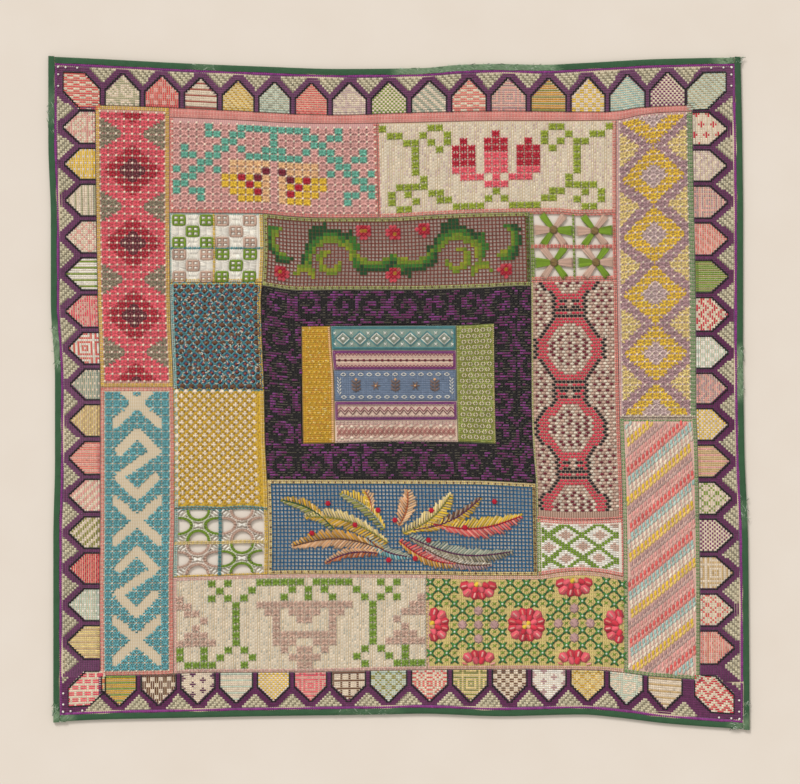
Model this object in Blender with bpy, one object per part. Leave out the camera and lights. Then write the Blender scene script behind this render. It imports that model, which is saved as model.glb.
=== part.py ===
"""Needlework sampler: twenty small cloths sewn edge to edge inside a canvas border, bound with green ribbon.

It lies flat on its back. X runs across, Y runs up the face and Z is the face's outward side.
All sizes in the tables are millimetres.
"""

import math

import bmesh
import bpy

MM = 0.001

# Thickness of the cloths
CANVAS = 1.8
LINEN = 1.5
NET = 1.2
OPENWORK = 1.2
RIBBON = 0.5

# Fit between neighbours
GAP = 0.3
SEAM_SHOULDER = 1.4
SEAM_DROP = 0.45
PUCKER_HEIGHT = 0.2
PUCKER_LENGTH_X = 9.0
PUCKER_LENGTH_Y = 11.0

# Ribbon binding, folded over the canvas edge
BINDING_WIDTH = 4.0
BINDING_STATIONS = 22
RIM_LOW = RIBBON + GAP
BINDING_TOP = CANVAS + GAP + RIBBON
FOLD_CHAMFER = 0.35

# Stations along one side of the two ring-shaped cloths
BORDER_STATIONS = 34
NET_STATIONS = 18

# Each seam is a row of stations: along, across. Upright seams give X at Y, level seams give Y at X.
UPRIGHT_SEAMS = {
    "outer_left": ((-202, -207.5), (-88, -207.5), (-40, -206.5), (8, -206.5), (56, -209), (104, -209),
                   (152, -210.5), (202, -210.5)),
    "outer_right": ((-202, 210.5), (-136, 210), (-88, 209.5), (-40, 207.5), (-16, 207), (32, 206.5),
                    (104, 206.5), (152, 206), (202, 205)),
    "field_left": ((-169, -179), (-124, -179.3), (-64, -179), (4, -179), (56, -180.5), (116, -181.5),
                   (172, -182)),
    "field_right": ((-172, 180.3), (-124, 180.4), (-64, 179.7), (-28, 178.8), (-14, 178.1), (56, 177.8),
                    (116, 176.6), (172, 175.7)),
    "left_column": ((-169, -135.2), (-112, -135.5), (-76, -134.7), (-34, -134.7), (4, -135.3), (56, -137.2),
                    (116, -137.7), (172, -137.7)),
    "right_column": ((-172, 135), (-100, 134.7), (-64, 134), (-40, 133.2), (-14, 132.3), (32, 131.4),
                     (68, 130.8), (116, 130.2), (168, 130.2)),
    "inner_left": ((-110, -78.6), (-88, -78.3), (-70, -78.6), (-52, -79.2), (-28, -80.4), (4, -81),
                   (32, -82.2), (56, -82.8), (67, -82), (86, -81), (110, -81.6)),
    "inner_right": ((-109, 83.1), (-76, 82.5), (-52, 82), (-30, 80.3), (-4, 79.5), (62, 79.2), (108, 78)),
    "pink_linen": ((105, -12), (163, -13.3)),
    "beige_rosette": ((-166, 17.1), (-109, 16.8)),
    "core_left": ((-31, -57.6), (42, -58.5)),
    "core_right": ((-31, 58.2), (8, 57.3), (42, 57)),
    "gold_bands": ((-31, -38.4), (8, -38.9), (25, -40.2), (42, -41.2)),
    "bands_green": ((-31, 35.4), (8, 34.5), (42, 34.2)),
}
LEVEL_SEAMS = {
    "outer_top": ((-211, 202), (-179, 200.5), (-131, 198), (-83, 196), (-35, 194.5), (13, 195), (37, 197),
                  (61, 197.5), (85, 197), (109, 198), (157, 200.5), (206, 201.5)),
    "outer_bottom": ((-208, -197.5), (-179, -196), (-131, -195), (-83, -194), (-11, -193), (13, -192.5),
                     (61, -194), (109, -193), (133, -195), (157, -198), (181, -200), (211, -202)),
    "field_top": ((-182.5, 172.5), (-137.5, 171), (-95.5, 168.9), (-53.5, 166.8), (-35.5, 166.5), (0.5, 167.7),
                  (60.5, 168.9), (120.5, 168.3), (130.5, 168.8), (144.5, 171), (176, 172.5)),
    "tape_bottom": ((-137.5, 165.3), (-95.5, 163.5), (-59.5, 161.7), (-35.5, 161.4), (0.5, 162), (60.5, 163.2),
                    (96.5, 163.2), (130.5, 163.6), (144.5, 166.5), (156.5, 168), (176, 168.9)),
    "field_bottom": ((-179, -169.4), (-143, -168.9), (-122, -167.7), (-59.5, -167.4), (0.5, -166.2),
                     (72.5, -165.6), (118, -166.2), (134.5, -167.6), (150.5, -169.7), (180, -171.9)),
    "rose_key": ((-180, 3.5), (-135, 3.5)),
    "garden_foot": ((-138, 108), (-84.5, 107.7), (-65.5, 105.9), (-47.5, 105), (-12.5, 105), (24.5, 106.9),
                    (48.5, 107.9), (93.5, 108.6), (108.5, 107.5), (130.5, 108)),
    "blocks_knots": ((-138, 66), (-82, 66.3)),
    "knots_ochre": ((-136, 2.1), (-81, 2.1)),
    "ochre_arch": ((-135, -69.3), (-119.5, -68.7), (-107.5, -69.3), (-94, -68.4), (-78.5, -69.6)),
    "garland_top": ((-135.5, -110.7), (-107.5, -109.8), (-78.5, -108.9), (-59.5, -108.6), (18.5, -108.9),
                    (48.5, -109.5), (83, -109.5), (96.5, -107.7), (108.5, -106.8), (120.5, -107.7),
                    (134.7, -110.4)),
    "leaf_net_foot": ((-82.5, 64.5), (-59.5, 61.5), (-35.5, 61.8), (0.5, 61.8), (48.5, 63), (72.5, 64.2),
                      (79.5, 64.2)),
    "feather_top": ((-79.5, -52), (0.5, -52.2), (42.5, -52.5), (82.5, -54.3)),
    "wheels_strap": ((79, 67.2), (108.5, 67.8), (131, 68.1)),
    "strap_diamond": ((82, -74.7), (102.5, -76.2), (120.5, -75.9), (134, -75)),
    "lattice_stripe": ((131, -14.7), (179, -14.7)),
    "core_top": ((-59, 39.9), (-39, 40.2), (34, 40.5), (57.5, 41.7)),
    "core_bottom": ((-59, -30.5), (-38.5, -30), (0.5, -29.1), (35, -29.4), (58.5, -30.5)),
    "teal_purple": ((-42, 25.7), (35, 25.5)),
    "purple_blue": ((-42, 13.6), (35, 13.8)),
    "blue_zigzag": ((-42, -5), (35, -4.8)),
    "zigzag_rose": ((-42, -16.5), (36, -16.3)),
}

# Cloth: left seam, right seam, bottom seam, top seam, columns, rows, thickness, colour, roughness
PANELS = {
    "panel_rose_medallions": ("field_left", "left_column", "rose_key", "field_top", 5, 16, CANVAS,
                              (0.55, 0.12, 0.14), 0.85),
    "panel_teal_key": ("field_left", "left_column", "field_bottom", "rose_key", 5, 16, CANVAS,
                       (0.16, 0.38, 0.38), 0.85),
    "coral_tape": ("left_column", "field_right", "tape_bottom", "field_top", 34, 1, CANVAS,
                   (0.72, 0.2, 0.17), 0.8),
    "panel_garland_pink": ("left_column", "pink_linen", "garden_foot", "tape_bottom", 12, 6, CANVAS,
                           (0.5, 0.28, 0.26), 0.85),
    "panel_buds_linen": ("pink_linen", "right_column", "garden_foot", "tape_bottom", 14, 6, LINEN,
                         (0.62, 0.53, 0.42), 0.9),
    "panel_yellow_lattice": ("right_column", "field_right", "lattice_stripe", "tape_bottom", 5, 16, CANVAS,
                             (0.6, 0.42, 0.12), 0.85),
    "panel_slant_stripes": ("right_column", "field_right", "field_bottom", "lattice_stripe", 5, 14, CANVAS,
                            (0.62, 0.42, 0.3), 0.85),
    "panel_garland_beige": ("left_column", "beige_rosette", "field_bottom", "garland_top", 14, 6, LINEN,
                            (0.6, 0.5, 0.38), 0.9),
    "panel_rosettes": ("beige_rosette", "right_column", "field_bottom", "garland_top", 11, 6, CANVAS,
                       (0.5, 0.26, 0.17), 0.85),
    "panel_drawn_blocks": ("left_column", "inner_left", "blocks_knots", "garden_foot", 5, 5, OPENWORK,
                           (0.7, 0.66, 0.58), 0.9),
    "panel_leaf_net": ("inner_left", "inner_right", "leaf_net_foot", "garden_foot", 14, 5, NET,
                       (0.24, 0.15, 0.09), 0.9),
    "panel_wheels": ("inner_right", "right_column", "wheels_strap", "garden_foot", 2, 2, OPENWORK,
                     (0.3, 0.3, 0.1), 0.85),
    "panel_blue_knots": ("left_column", "inner_left", "knots_ochre", "blocks_knots", 5, 6, CANVAS,
                         (0.1, 0.22, 0.26), 0.85),
    "panel_ochre_lattice": ("left_column", "inner_left", "ochre_arch", "knots_ochre", 5, 7, CANVAS,
                            (0.62, 0.38, 0.1), 0.85),
    "panel_arch_openwork": ("left_column", "inner_left", "garland_top", "ochre_arch", 2, 2, OPENWORK,
                            (0.55, 0.5, 0.36), 0.9),
    "panel_strap_octagons": ("inner_right", "right_column", "strap_diamond", "wheels_strap", 5, 11, LINEN,
                             (0.45, 0.22, 0.2), 0.85),
    "panel_diamond_openwork": ("inner_right", "right_column", "garland_top", "strap_diamond", 5, 4, OPENWORK,
                               (0.62, 0.56, 0.42), 0.9),
    "panel_feather_net": ("inner_left", "inner_right", "garland_top", "feather_top", 14, 6, NET,
                          (0.16, 0.22, 0.27), 0.9),
    "strip_gold": ("core_left", "gold_bands", "core_bottom", "core_top", 2, 7, LINEN,
                   (0.6, 0.38, 0.05), 0.8),
    "band_teal": ("gold_bands", "bands_green", "teal_purple", "core_top", 8, 1, CANVAS,
                  (0.25, 0.4, 0.4), 0.7),
    "band_purple": ("gold_bands", "bands_green", "purple_blue", "teal_purple", 8, 1, LINEN,
                    (0.55, 0.32, 0.33), 0.75),
    "band_blue": ("gold_bands", "bands_green", "blue_zigzag", "purple_blue", 8, 2, LINEN,
                  (0.14, 0.2, 0.38), 0.75),
    "band_zigzag": ("gold_bands", "bands_green", "zigzag_rose", "blue_zigzag", 8, 1, LINEN,
                    (0.5, 0.25, 0.28), 0.75),
    "band_rose": ("gold_bands", "bands_green", "core_bottom", "zigzag_rose", 8, 1, LINEN,
                  (0.5, 0.27, 0.24), 0.75),
    "strip_green": ("bands_green", "core_right", "core_bottom", "core_top", 2, 7, LINEN,
                    (0.34, 0.34, 0.07), 0.8),
}

# Spoked wheels: two by two cells, each with six spokes from a hub
WHEEL_CELLS = ((0.045, 0.49, 0.06, 0.48), (0.525, 0.955, 0.06, 0.48),
               (0.045, 0.49, 0.54, 0.95), (0.525, 0.955, 0.54, 0.95))
# A gap between spokes, in half widths and half heights of its cell from the hub
TOP_GAP = ((-0.44, 1.0), (0.44, 1.0), (0.06, 0.22), (-0.06, 0.22))
SIDE_GAP = ((0.2, 0.14), (0.6, 0.18), (1.0, 0.36), (1.0, 1.0), (0.76, 1.0), (0.26, 0.3))
GAP_CORNER = 0.5

# Arched openwork: two by two blocks, each with four half-oval holes
ARCH_CELLS = ((0.085, 0.445, 0.065, 0.475), (0.525, 0.935, 0.065, 0.475),
              (0.085, 0.445, 0.545, 0.95), (0.525, 0.935, 0.545, 0.95))
ARCH_WIDE = 0.46
ARCH_DEEP = 0.58
ARCH_STEPS = 8
ARCH_POWER = 0.85


def clear_scene():
    for thing in list(bpy.data.objects):
        bpy.data.objects.remove(thing, do_unlink=True)


def slopes_of(stations):
    """The seam's slope at each station, level where it turns, so that it never overshoots."""
    steps = [(b[1] - a[1]) / (b[0] - a[0]) for a, b in zip(stations, stations[1:])]
    inner = [0 if a * b <= 0 else 2 * a * b / (a + b) for a, b in zip(steps, steps[1:])]
    return [steps[0], *inner, steps[-1]]


def seam(name, along):
    """How far across a seam lies at a place along it, on a smooth curve through its stations."""
    stations = UPRIGHT_SEAMS.get(name) or LEVEL_SEAMS[name]
    slopes = slopes_of(stations)
    if along <= stations[0][0]:
        return stations[0][1] + slopes[0] * (along - stations[0][0])
    for k, (a, b) in enumerate(zip(stations, stations[1:])):
        if along <= b[0]:
            wide = b[0] - a[0]
            t = (along - a[0]) / wide
            return (a[1] * (1 + 2 * t) * (1 - t) ** 2 + b[1] * t * t * (3 - 2 * t)
                    + wide * t * (1 - t) * (slopes[k] * (1 - t) - slopes[k + 1] * t))
    return stations[-1][1] + slopes[-1] * (along - stations[-1][0])


def place(sides, u, v, inset=0.0):
    """The point a share u across and v up the cloth between four seams, each moved in by the inset."""
    left, right, bottom, top = sides
    x, y = seam(left, 0), seam(top, 0)
    for _ in range(12):
        low, high = seam(bottom, x) + inset, seam(top, x) - inset
        y = low + (high - low) * v
        near, far = seam(left, y) + inset, seam(right, y) - inset
        x = near + (far - near) * u
    return x, y


def pucker(x, y):
    """The small unevenness of the stitched cloth."""
    drift = math.sin(y / (2 * PUCKER_LENGTH_Y))
    return PUCKER_HEIGHT * math.sin(x / PUCKER_LENGTH_X + drift) * math.sin(y / PUCKER_LENGTH_Y + 0.7)


def paint(thing, colour, roughness):
    material = bpy.data.materials.new(thing.name)
    material.use_nodes = True
    shader = material.node_tree.nodes["Principled BSDF"]
    shader.inputs["Base Color"].default_value = (*colour, 1)
    shader.inputs["Roughness"].default_value = roughness
    shader.inputs["Metallic"].default_value = 0
    thing.data.materials.append(material)


def finish(name, bm, colour, roughness):
    """An object of the shape, in metres, with its faces outwards."""
    bmesh.ops.scale(bm, vec=(MM, MM, MM), verts=bm.verts)
    bmesh.ops.recalc_face_normals(bm, faces=bm.faces)
    mesh = bpy.data.meshes.new(name)
    bm.to_mesh(mesh)
    bm.free()
    thing = bpy.data.objects.new(name, mesh)
    bpy.context.scene.collection.objects.link(thing)
    paint(thing, colour, roughness)
    return thing


def shares(count, length):
    """Shares of a side for a grid line at each seam, at its shoulder, and evenly between them."""
    shoulder = SEAM_SHOULDER / length
    between = [shoulder + (1 - 2 * shoulder) * k / count for k in range(count + 1)]
    return [0, *between, 1]


def panel(name, left, right, bottom, top, columns, rows, thick, colour, roughness):
    """A cloth between four seams: flat below, softly uneven above, and lower along its seams."""
    sides = (left, right, bottom, top)
    wide = abs(place(sides, 1, 0.5)[0] - place(sides, 0, 0.5)[0])
    high = abs(place(sides, 0.5, 1)[1] - place(sides, 0.5, 0)[1])
    across, up = shares(columns, wide), shares(rows, high)
    bm = bmesh.new()
    bmesh.ops.create_grid(bm, x_segments=columns + 2, y_segments=rows + 2, size=0.5)
    for vert in bm.verts:
        i = round((vert.co.x + 0.5) * (columns + 2))
        j = round((vert.co.y + 0.5) * (rows + 2))
        vert.co = (*place(sides, across[i], up[j], GAP / 2), 0)
    under = list(bm.faces)
    grown = bmesh.ops.extrude_face_region(bm, geom=under)
    raised = [part for part in grown["geom"] if isinstance(part, bmesh.types.BMVert)]
    for vert in raised:
        on_seam = any(len(edge.link_faces) == 2 and edge.calc_face_angle(0) > 1 for edge in vert.link_edges)
        vert.co.z = thick - SEAM_DROP if on_seam else thick + pucker(vert.co.x, vert.co.y)
    flat = [face for face in bm.faces if all(vert.co.z == 0 for vert in face.verts)]
    bmesh.ops.dissolve_faces(bm, faces=flat)
    return finish(name, bm, colour, roughness)


def outline(sides, inset, stations):
    """A closed row of points round four seams, moved in by the inset, the same number on each side."""
    steps = [k / stations for k in range(stations)]
    round_it = [(0, 1 - t) for t in steps] + [(t, 0) for t in steps]
    round_it += [(1, t) for t in steps] + [(1 - t, 1) for t in steps]
    return [place(sides, u, v, inset) for u, v in round_it]


def skin(bm, rows, closed):
    """Faces between each row of points and the next; a closed skin joins the last row to the first."""
    made = [[bm.verts.new(point) for point in row] for row in rows]
    pairs = list(zip(made, made[1:]))
    if closed:
        pairs.append((made[-1], made[0]))
    for low, high in pairs:
        for k in range(len(low) - 1):
            bm.faces.new((low[k], low[k + 1], high[k + 1], high[k]))
    return made


def ring(name, outer, inner, section, stations, colour, roughness):
    """A cloth with a cloth-filled middle. Its section gives, from the outer edge round to it again,
    a share of the way in, an inset from the outer seams and a height."""
    outers = {inset: outline(outer, inset, stations) for inset in {inset for _, inset, _ in section}}
    inside = outline(inner, -GAP / 2, stations)
    rows = []
    for share, inset, height in section:
        row = []
        for (x0, y0), (x1, y1) in zip(outers[inset], inside):
            x, y = x0 + (x1 - x0) * share, y0 + (y1 - y0) * share
            lift = pucker(x, y) if 0 < share < 1 else 0
            row.append((x, y, height + lift))
        rows.append([*row, row[0]])
    bm = bmesh.new()
    skin(bm, rows, closed=True)
    bmesh.ops.remove_doubles(bm, verts=bm.verts, dist=GAP / 10)
    return finish(name, bm, colour, roughness)


def border_canvas():
    """The border's canvas, with its rim thinned from below where the ribbon folds under it."""
    section = ((0, RIM_LOW, RIM_LOW), (0, BINDING_WIDTH + GAP, RIM_LOW), (0, BINDING_WIDTH + GAP, 0),
               (1, 0, 0), (1, 0, CANVAS - SEAM_DROP), (0.93, 0, CANVAS), (0.5, 0, CANVAS),
               (0.2, BINDING_WIDTH, CANVAS), (0, BINDING_WIDTH + GAP, CANVAS), (0, RIM_LOW, CANVAS))
    outer = ("outer_left", "outer_right", "outer_bottom", "outer_top")
    inner = ("field_left", "field_right", "field_bottom", "field_top")
    return ring("border_canvas", outer, inner, section, BORDER_STATIONS, (0.36, 0.22, 0.2), 0.85)


def black_net():
    """The dark net round the middle block."""
    section = ((0, GAP / 2, 0), (1, 0, 0), (1, 0, NET - SEAM_DROP), (0.95, 0, NET), (0.5, 0, NET),
               (0.05, GAP / 2, NET), (0, GAP / 2, NET - SEAM_DROP))
    outer = ("inner_left", "inner_right", "feather_top", "leaf_net_foot")
    inner = ("core_left", "core_right", "core_bottom", "core_top")
    return ring("net_black", outer, inner, section, NET_STATIONS, (0.03, 0.015, 0.03), 0.8)


def binding_point(side, t, inset):
    """A point a share t along one side of the ribbon, that far in from the outer edge."""
    x, y = 0, 0
    if side in ("outer_left", "outer_right"):
        sign = 1 if side == "outer_left" else -1
        for _ in range(8):
            low, high = seam("outer_bottom", x), seam("outer_top", x)
            y = low + (high - low) * t
            x = seam(side, y) + sign * inset
        return x, y
    sign = 1 if side == "outer_bottom" else -1
    for _ in range(8):
        near = seam("outer_left", y) + BINDING_WIDTH + GAP
        far = seam("outer_right", y) - BINDING_WIDTH - GAP
        x = near + (far - near) * t
        y = seam(side, x) + sign * inset
    return x, y


def binding(name, side):
    """One length of ribbon, folded round the canvas edge."""
    section = ((FOLD_CHAMFER, 0), (0, FOLD_CHAMFER), (0, BINDING_TOP - FOLD_CHAMFER), (FOLD_CHAMFER, BINDING_TOP),
               (BINDING_WIDTH, BINDING_TOP), (BINDING_WIDTH, CANVAS + GAP), (RIBBON, CANVAS + GAP),
               (RIBBON, RIBBON), (BINDING_WIDTH, RIBBON), (BINDING_WIDTH, 0))
    bm = bmesh.new()
    rows = []
    for k in range(BINDING_STATIONS + 1):
        t = k / BINDING_STATIONS
        row = [(*binding_point(side, t, inset), height) for inset, height in section]
        rows.append([*row, row[0]])
    made = skin(bm, rows, closed=False)
    for end in (made[0], made[-1]):
        bm.faces.new(end[:-1])
    bmesh.ops.remove_doubles(bm, verts=bm.verts, dist=GAP / 10)
    return finish(name, bm, (0.035, 0.13, 0.05), 0.6)


def cutter(name, sides, cells, shapes, corner):
    """A guide that joins one upright prism for each hole, for cutting a cloth through."""
    bm = bmesh.new()
    for left, right, bottom, top in cells:
        for points in shapes:
            ring_points = []
            for across, up in points:
                u = (left + right) / 2 + (right - left) / 2 * across
                v = (bottom + top) / 2 + (top - bottom) / 2 * up
                ring_points.append(bm.verts.new((*place(sides, u, v), -CANVAS)))
            face = bm.faces.new(ring_points)
            grown = bmesh.ops.extrude_face_region(bm, geom=[face])
            lifted = [part for part in grown["geom"] if isinstance(part, bmesh.types.BMVert)]
            bmesh.ops.translate(bm, vec=(0, 0, 3 * CANVAS), verts=lifted)
    if corner:
        upright = [edge for edge in bm.edges if abs((edge.verts[0].co - edge.verts[1].co).z) > CANVAS]
        bmesh.ops.bevel(bm, geom=upright, offset=corner, segments=1, profile=0.5, affect="EDGES")
    thing = finish(name, bm, (0.5, 0.5, 0.5), 0.5)
    thing.hide_render = True
    thing.display_type = "WIRE"
    return thing


def cut(cloth, guide):
    modifier = cloth.modifiers.new("holes", "BOOLEAN")
    modifier.operation = "DIFFERENCE"
    modifier.solver = "EXACT"
    modifier.object = guide


def mirrored(points, across, up):
    return [(x * across, y * up) for x, y in points]


def wheel_gaps():
    """The six gaps between a wheel's spokes: one above, one below and two on each side."""
    return [mirrored(TOP_GAP, 1, up) for up in (1, -1)] + [
        mirrored(SIDE_GAP, across, up) for across in (1, -1) for up in (1, -1)
    ]


def arch_holes():
    """Four half ovals, each with its flat side on the edge of its block."""
    angles = [math.pi * k / ARCH_STEPS for k in range(ARCH_STEPS + 1)]
    bow = [(math.copysign(abs(math.cos(a)) ** ARCH_POWER, math.cos(a)), math.sin(a) ** ARCH_POWER) for a in angles]
    level = [(ARCH_WIDE * x, 1 - ARCH_DEEP * y) for x, y in bow]
    upright = [(1 - ARCH_DEEP * y, ARCH_WIDE * x) for x, y in bow]
    return [mirrored(level, 1, up) for up in (1, -1)] + [mirrored(upright, across, 1) for across in (1, -1)]


def main():
    clear_scene()
    border_canvas()
    for side in ("left", "right", "bottom", "top"):
        binding(f"binding_{side}", f"outer_{side}")
    black_net()
    cloths = {name: panel(name, *columns) for name, columns in PANELS.items()}
    wheels = cutter("guide_wheels", PANELS["panel_wheels"][:4], WHEEL_CELLS, wheel_gaps(), GAP_CORNER)
    cut(cloths["panel_wheels"], wheels)
    arches = cutter("guide_arches", PANELS["panel_arch_openwork"][:4], ARCH_CELLS, arch_holes(), 0)
    cut(cloths["panel_arch_openwork"], arches)


if __name__ == "__main__":
    main()
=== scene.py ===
"""The looks of a needlework sampler: its cloths, nets, drawn work, stitches and ribbon binding.

It is laid out as an add-on and run as a script. The seam tables are those of the sampler's solids.
Sizes in tables and functions are millimetres, measured on a cloth from its left and its top seam.
"""

import math

import bmesh
import bpy
import numpy as np
from mathutils import Matrix


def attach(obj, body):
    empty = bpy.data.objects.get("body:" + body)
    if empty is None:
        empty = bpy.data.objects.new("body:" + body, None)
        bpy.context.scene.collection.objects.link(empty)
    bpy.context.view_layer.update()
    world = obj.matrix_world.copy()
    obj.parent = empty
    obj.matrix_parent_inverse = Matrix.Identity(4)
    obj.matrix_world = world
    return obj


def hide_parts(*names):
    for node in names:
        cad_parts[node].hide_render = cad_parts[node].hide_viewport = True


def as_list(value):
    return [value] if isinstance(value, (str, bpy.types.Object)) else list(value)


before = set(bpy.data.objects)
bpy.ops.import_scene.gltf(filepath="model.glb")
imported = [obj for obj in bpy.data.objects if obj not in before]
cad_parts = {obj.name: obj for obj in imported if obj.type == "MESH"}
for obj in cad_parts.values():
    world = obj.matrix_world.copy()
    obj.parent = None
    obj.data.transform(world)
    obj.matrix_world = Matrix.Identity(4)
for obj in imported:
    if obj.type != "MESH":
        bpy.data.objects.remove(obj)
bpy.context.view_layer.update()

bl_info = {
    "name": "Needlework sampler",
    "version": (1, 0, 0),
    "blender": (4, 5, 0),
    "location": "3D View > Sidebar > Sampler",
    "description": "Stitches, nets and ribbon of a needlework sampler, laid over its cloths",
    "category": "Add Mesh",
}

MM = 0.001

# Fit and thickness, as in the solids
CANVAS = 1.8
LINEN = 1.5
NET = 1.2
RIBBON = 0.5
GAP = 0.3
SEAM_SHOULDER = 1.4
SEAM_DROP = 0.45
PUCKER_HEIGHT = 0.2
PUCKER_LENGTH_X = 9.0
PUCKER_LENGTH_Y = 11.0
BINDING_WIDTH = 4.0
BINDING_TOP = CANVAS + GAP + RIBBON

# Each seam is a row of stations: along, across. Upright seams give X at Y, level seams give Y at X.
SEAM_STATIONS = {
    "outer_left": ((-202, -207.5), (-88, -207.5), (-40, -206.5), (8, -206.5), (56, -209), (104, -209),
                   (152, -210.5), (202, -210.5)),
    "outer_right": ((-202, 210.5), (-136, 210), (-88, 209.5), (-40, 207.5), (-16, 207), (32, 206.5),
                    (104, 206.5), (152, 206), (202, 205)),
    "field_left": ((-169, -179), (-124, -179.3), (-64, -179), (4, -179), (56, -180.5), (116, -181.5),
                   (172, -182)),
    "field_right": ((-172, 180.3), (-124, 180.4), (-64, 179.7), (-28, 178.8), (-14, 178.1), (56, 177.8),
                    (116, 176.6), (172, 175.7)),
    "left_column": ((-169, -135.2), (-112, -135.5), (-76, -134.7), (-34, -134.7), (4, -135.3), (56, -137.2),
                    (116, -137.7), (172, -137.7)),
    "right_column": ((-172, 135), (-100, 134.7), (-64, 134), (-40, 133.2), (-14, 132.3), (32, 131.4),
                     (68, 130.8), (116, 130.2), (168, 130.2)),
    "inner_left": ((-110, -78.6), (-88, -78.3), (-70, -78.6), (-52, -79.2), (-28, -80.4), (4, -81),
                   (32, -82.2), (56, -82.8), (67, -82), (86, -81), (110, -81.6)),
    "inner_right": ((-109, 83.1), (-76, 82.5), (-52, 82), (-30, 80.3), (-4, 79.5), (62, 79.2), (108, 78)),
    "pink_linen": ((105, -12), (163, -13.3)),
    "beige_rosette": ((-166, 17.1), (-109, 16.8)),
    "core_left": ((-31, -57.6), (42, -58.5)),
    "core_right": ((-31, 58.2), (8, 57.3), (42, 57)),
    "gold_bands": ((-31, -38.4), (8, -38.9), (25, -40.2), (42, -41.2)),
    "bands_green": ((-31, 35.4), (8, 34.5), (42, 34.2)),
    "outer_top": ((-211, 202), (-179, 200.5), (-131, 198), (-83, 196), (-35, 194.5), (13, 195), (37, 197),
                  (61, 197.5), (85, 197), (109, 198), (157, 200.5), (206, 201.5)),
    "outer_bottom": ((-208, -197.5), (-179, -196), (-131, -195), (-83, -194), (-11, -193), (13, -192.5),
                     (61, -194), (109, -193), (133, -195), (157, -198), (181, -200), (211, -202)),
    "field_top": ((-182.5, 172.5), (-137.5, 171), (-95.5, 168.9), (-53.5, 166.8), (-35.5, 166.5),
                  (0.5, 167.7), (60.5, 168.9), (120.5, 168.3), (130.5, 168.8), (144.5, 171), (176, 172.5)),
    "tape_bottom": ((-137.5, 165.3), (-95.5, 163.5), (-59.5, 161.7), (-35.5, 161.4), (0.5, 162),
                    (60.5, 163.2), (96.5, 163.2), (130.5, 163.6), (144.5, 166.5), (156.5, 168), (176, 168.9)),
    "field_bottom": ((-179, -169.4), (-143, -168.9), (-122, -167.7), (-59.5, -167.4), (0.5, -166.2),
                     (72.5, -165.6), (118, -166.2), (134.5, -167.6), (150.5, -169.7), (180, -171.9)),
    "rose_key": ((-180, 3.5), (-135, 3.5)),
    "garden_foot": ((-138, 108), (-84.5, 107.7), (-65.5, 105.9), (-47.5, 105), (-12.5, 105), (24.5, 106.9),
                    (48.5, 107.9), (93.5, 108.6), (108.5, 107.5), (130.5, 108)),
    "blocks_knots": ((-138, 66), (-82, 66.3)),
    "knots_ochre": ((-136, 2.1), (-81, 2.1)),
    "ochre_arch": ((-135, -69.3), (-119.5, -68.7), (-107.5, -69.3), (-94, -68.4), (-78.5, -69.6)),
    "garland_top": ((-135.5, -110.7), (-107.5, -109.8), (-78.5, -108.9), (-59.5, -108.6), (18.5, -108.9),
                    (48.5, -109.5), (83, -109.5), (96.5, -107.7), (108.5, -106.8), (120.5, -107.7),
                    (134.7, -110.4)),
    "leaf_net_foot": ((-82.5, 64.5), (-59.5, 61.5), (-35.5, 61.8), (0.5, 61.8), (48.5, 63), (72.5, 64.2),
                      (79.5, 64.2)),
    "feather_top": ((-79.5, -52), (0.5, -52.2), (42.5, -52.5), (82.5, -54.3)),
    "wheels_strap": ((79, 67.2), (108.5, 67.8), (131, 68.1)),
    "strap_diamond": ((82, -74.7), (102.5, -76.2), (120.5, -75.9), (134, -75)),
    "lattice_stripe": ((131, -14.7), (179, -14.7)),
    "core_top": ((-59, 39.9), (-39, 40.2), (34, 40.5), (57.5, 41.7)),
    "core_bottom": ((-59, -30.5), (-38.5, -30), (0.5, -29.1), (35, -29.4), (58.5, -30.5)),
    "teal_purple": ((-42, 25.7), (35, 25.5)),
    "purple_blue": ((-42, 13.6), (35, 13.8)),
    "blue_zigzag": ((-42, -5), (35, -4.8)),
    "zigzag_rose": ((-42, -16.5), (36, -16.3)),
}

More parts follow.
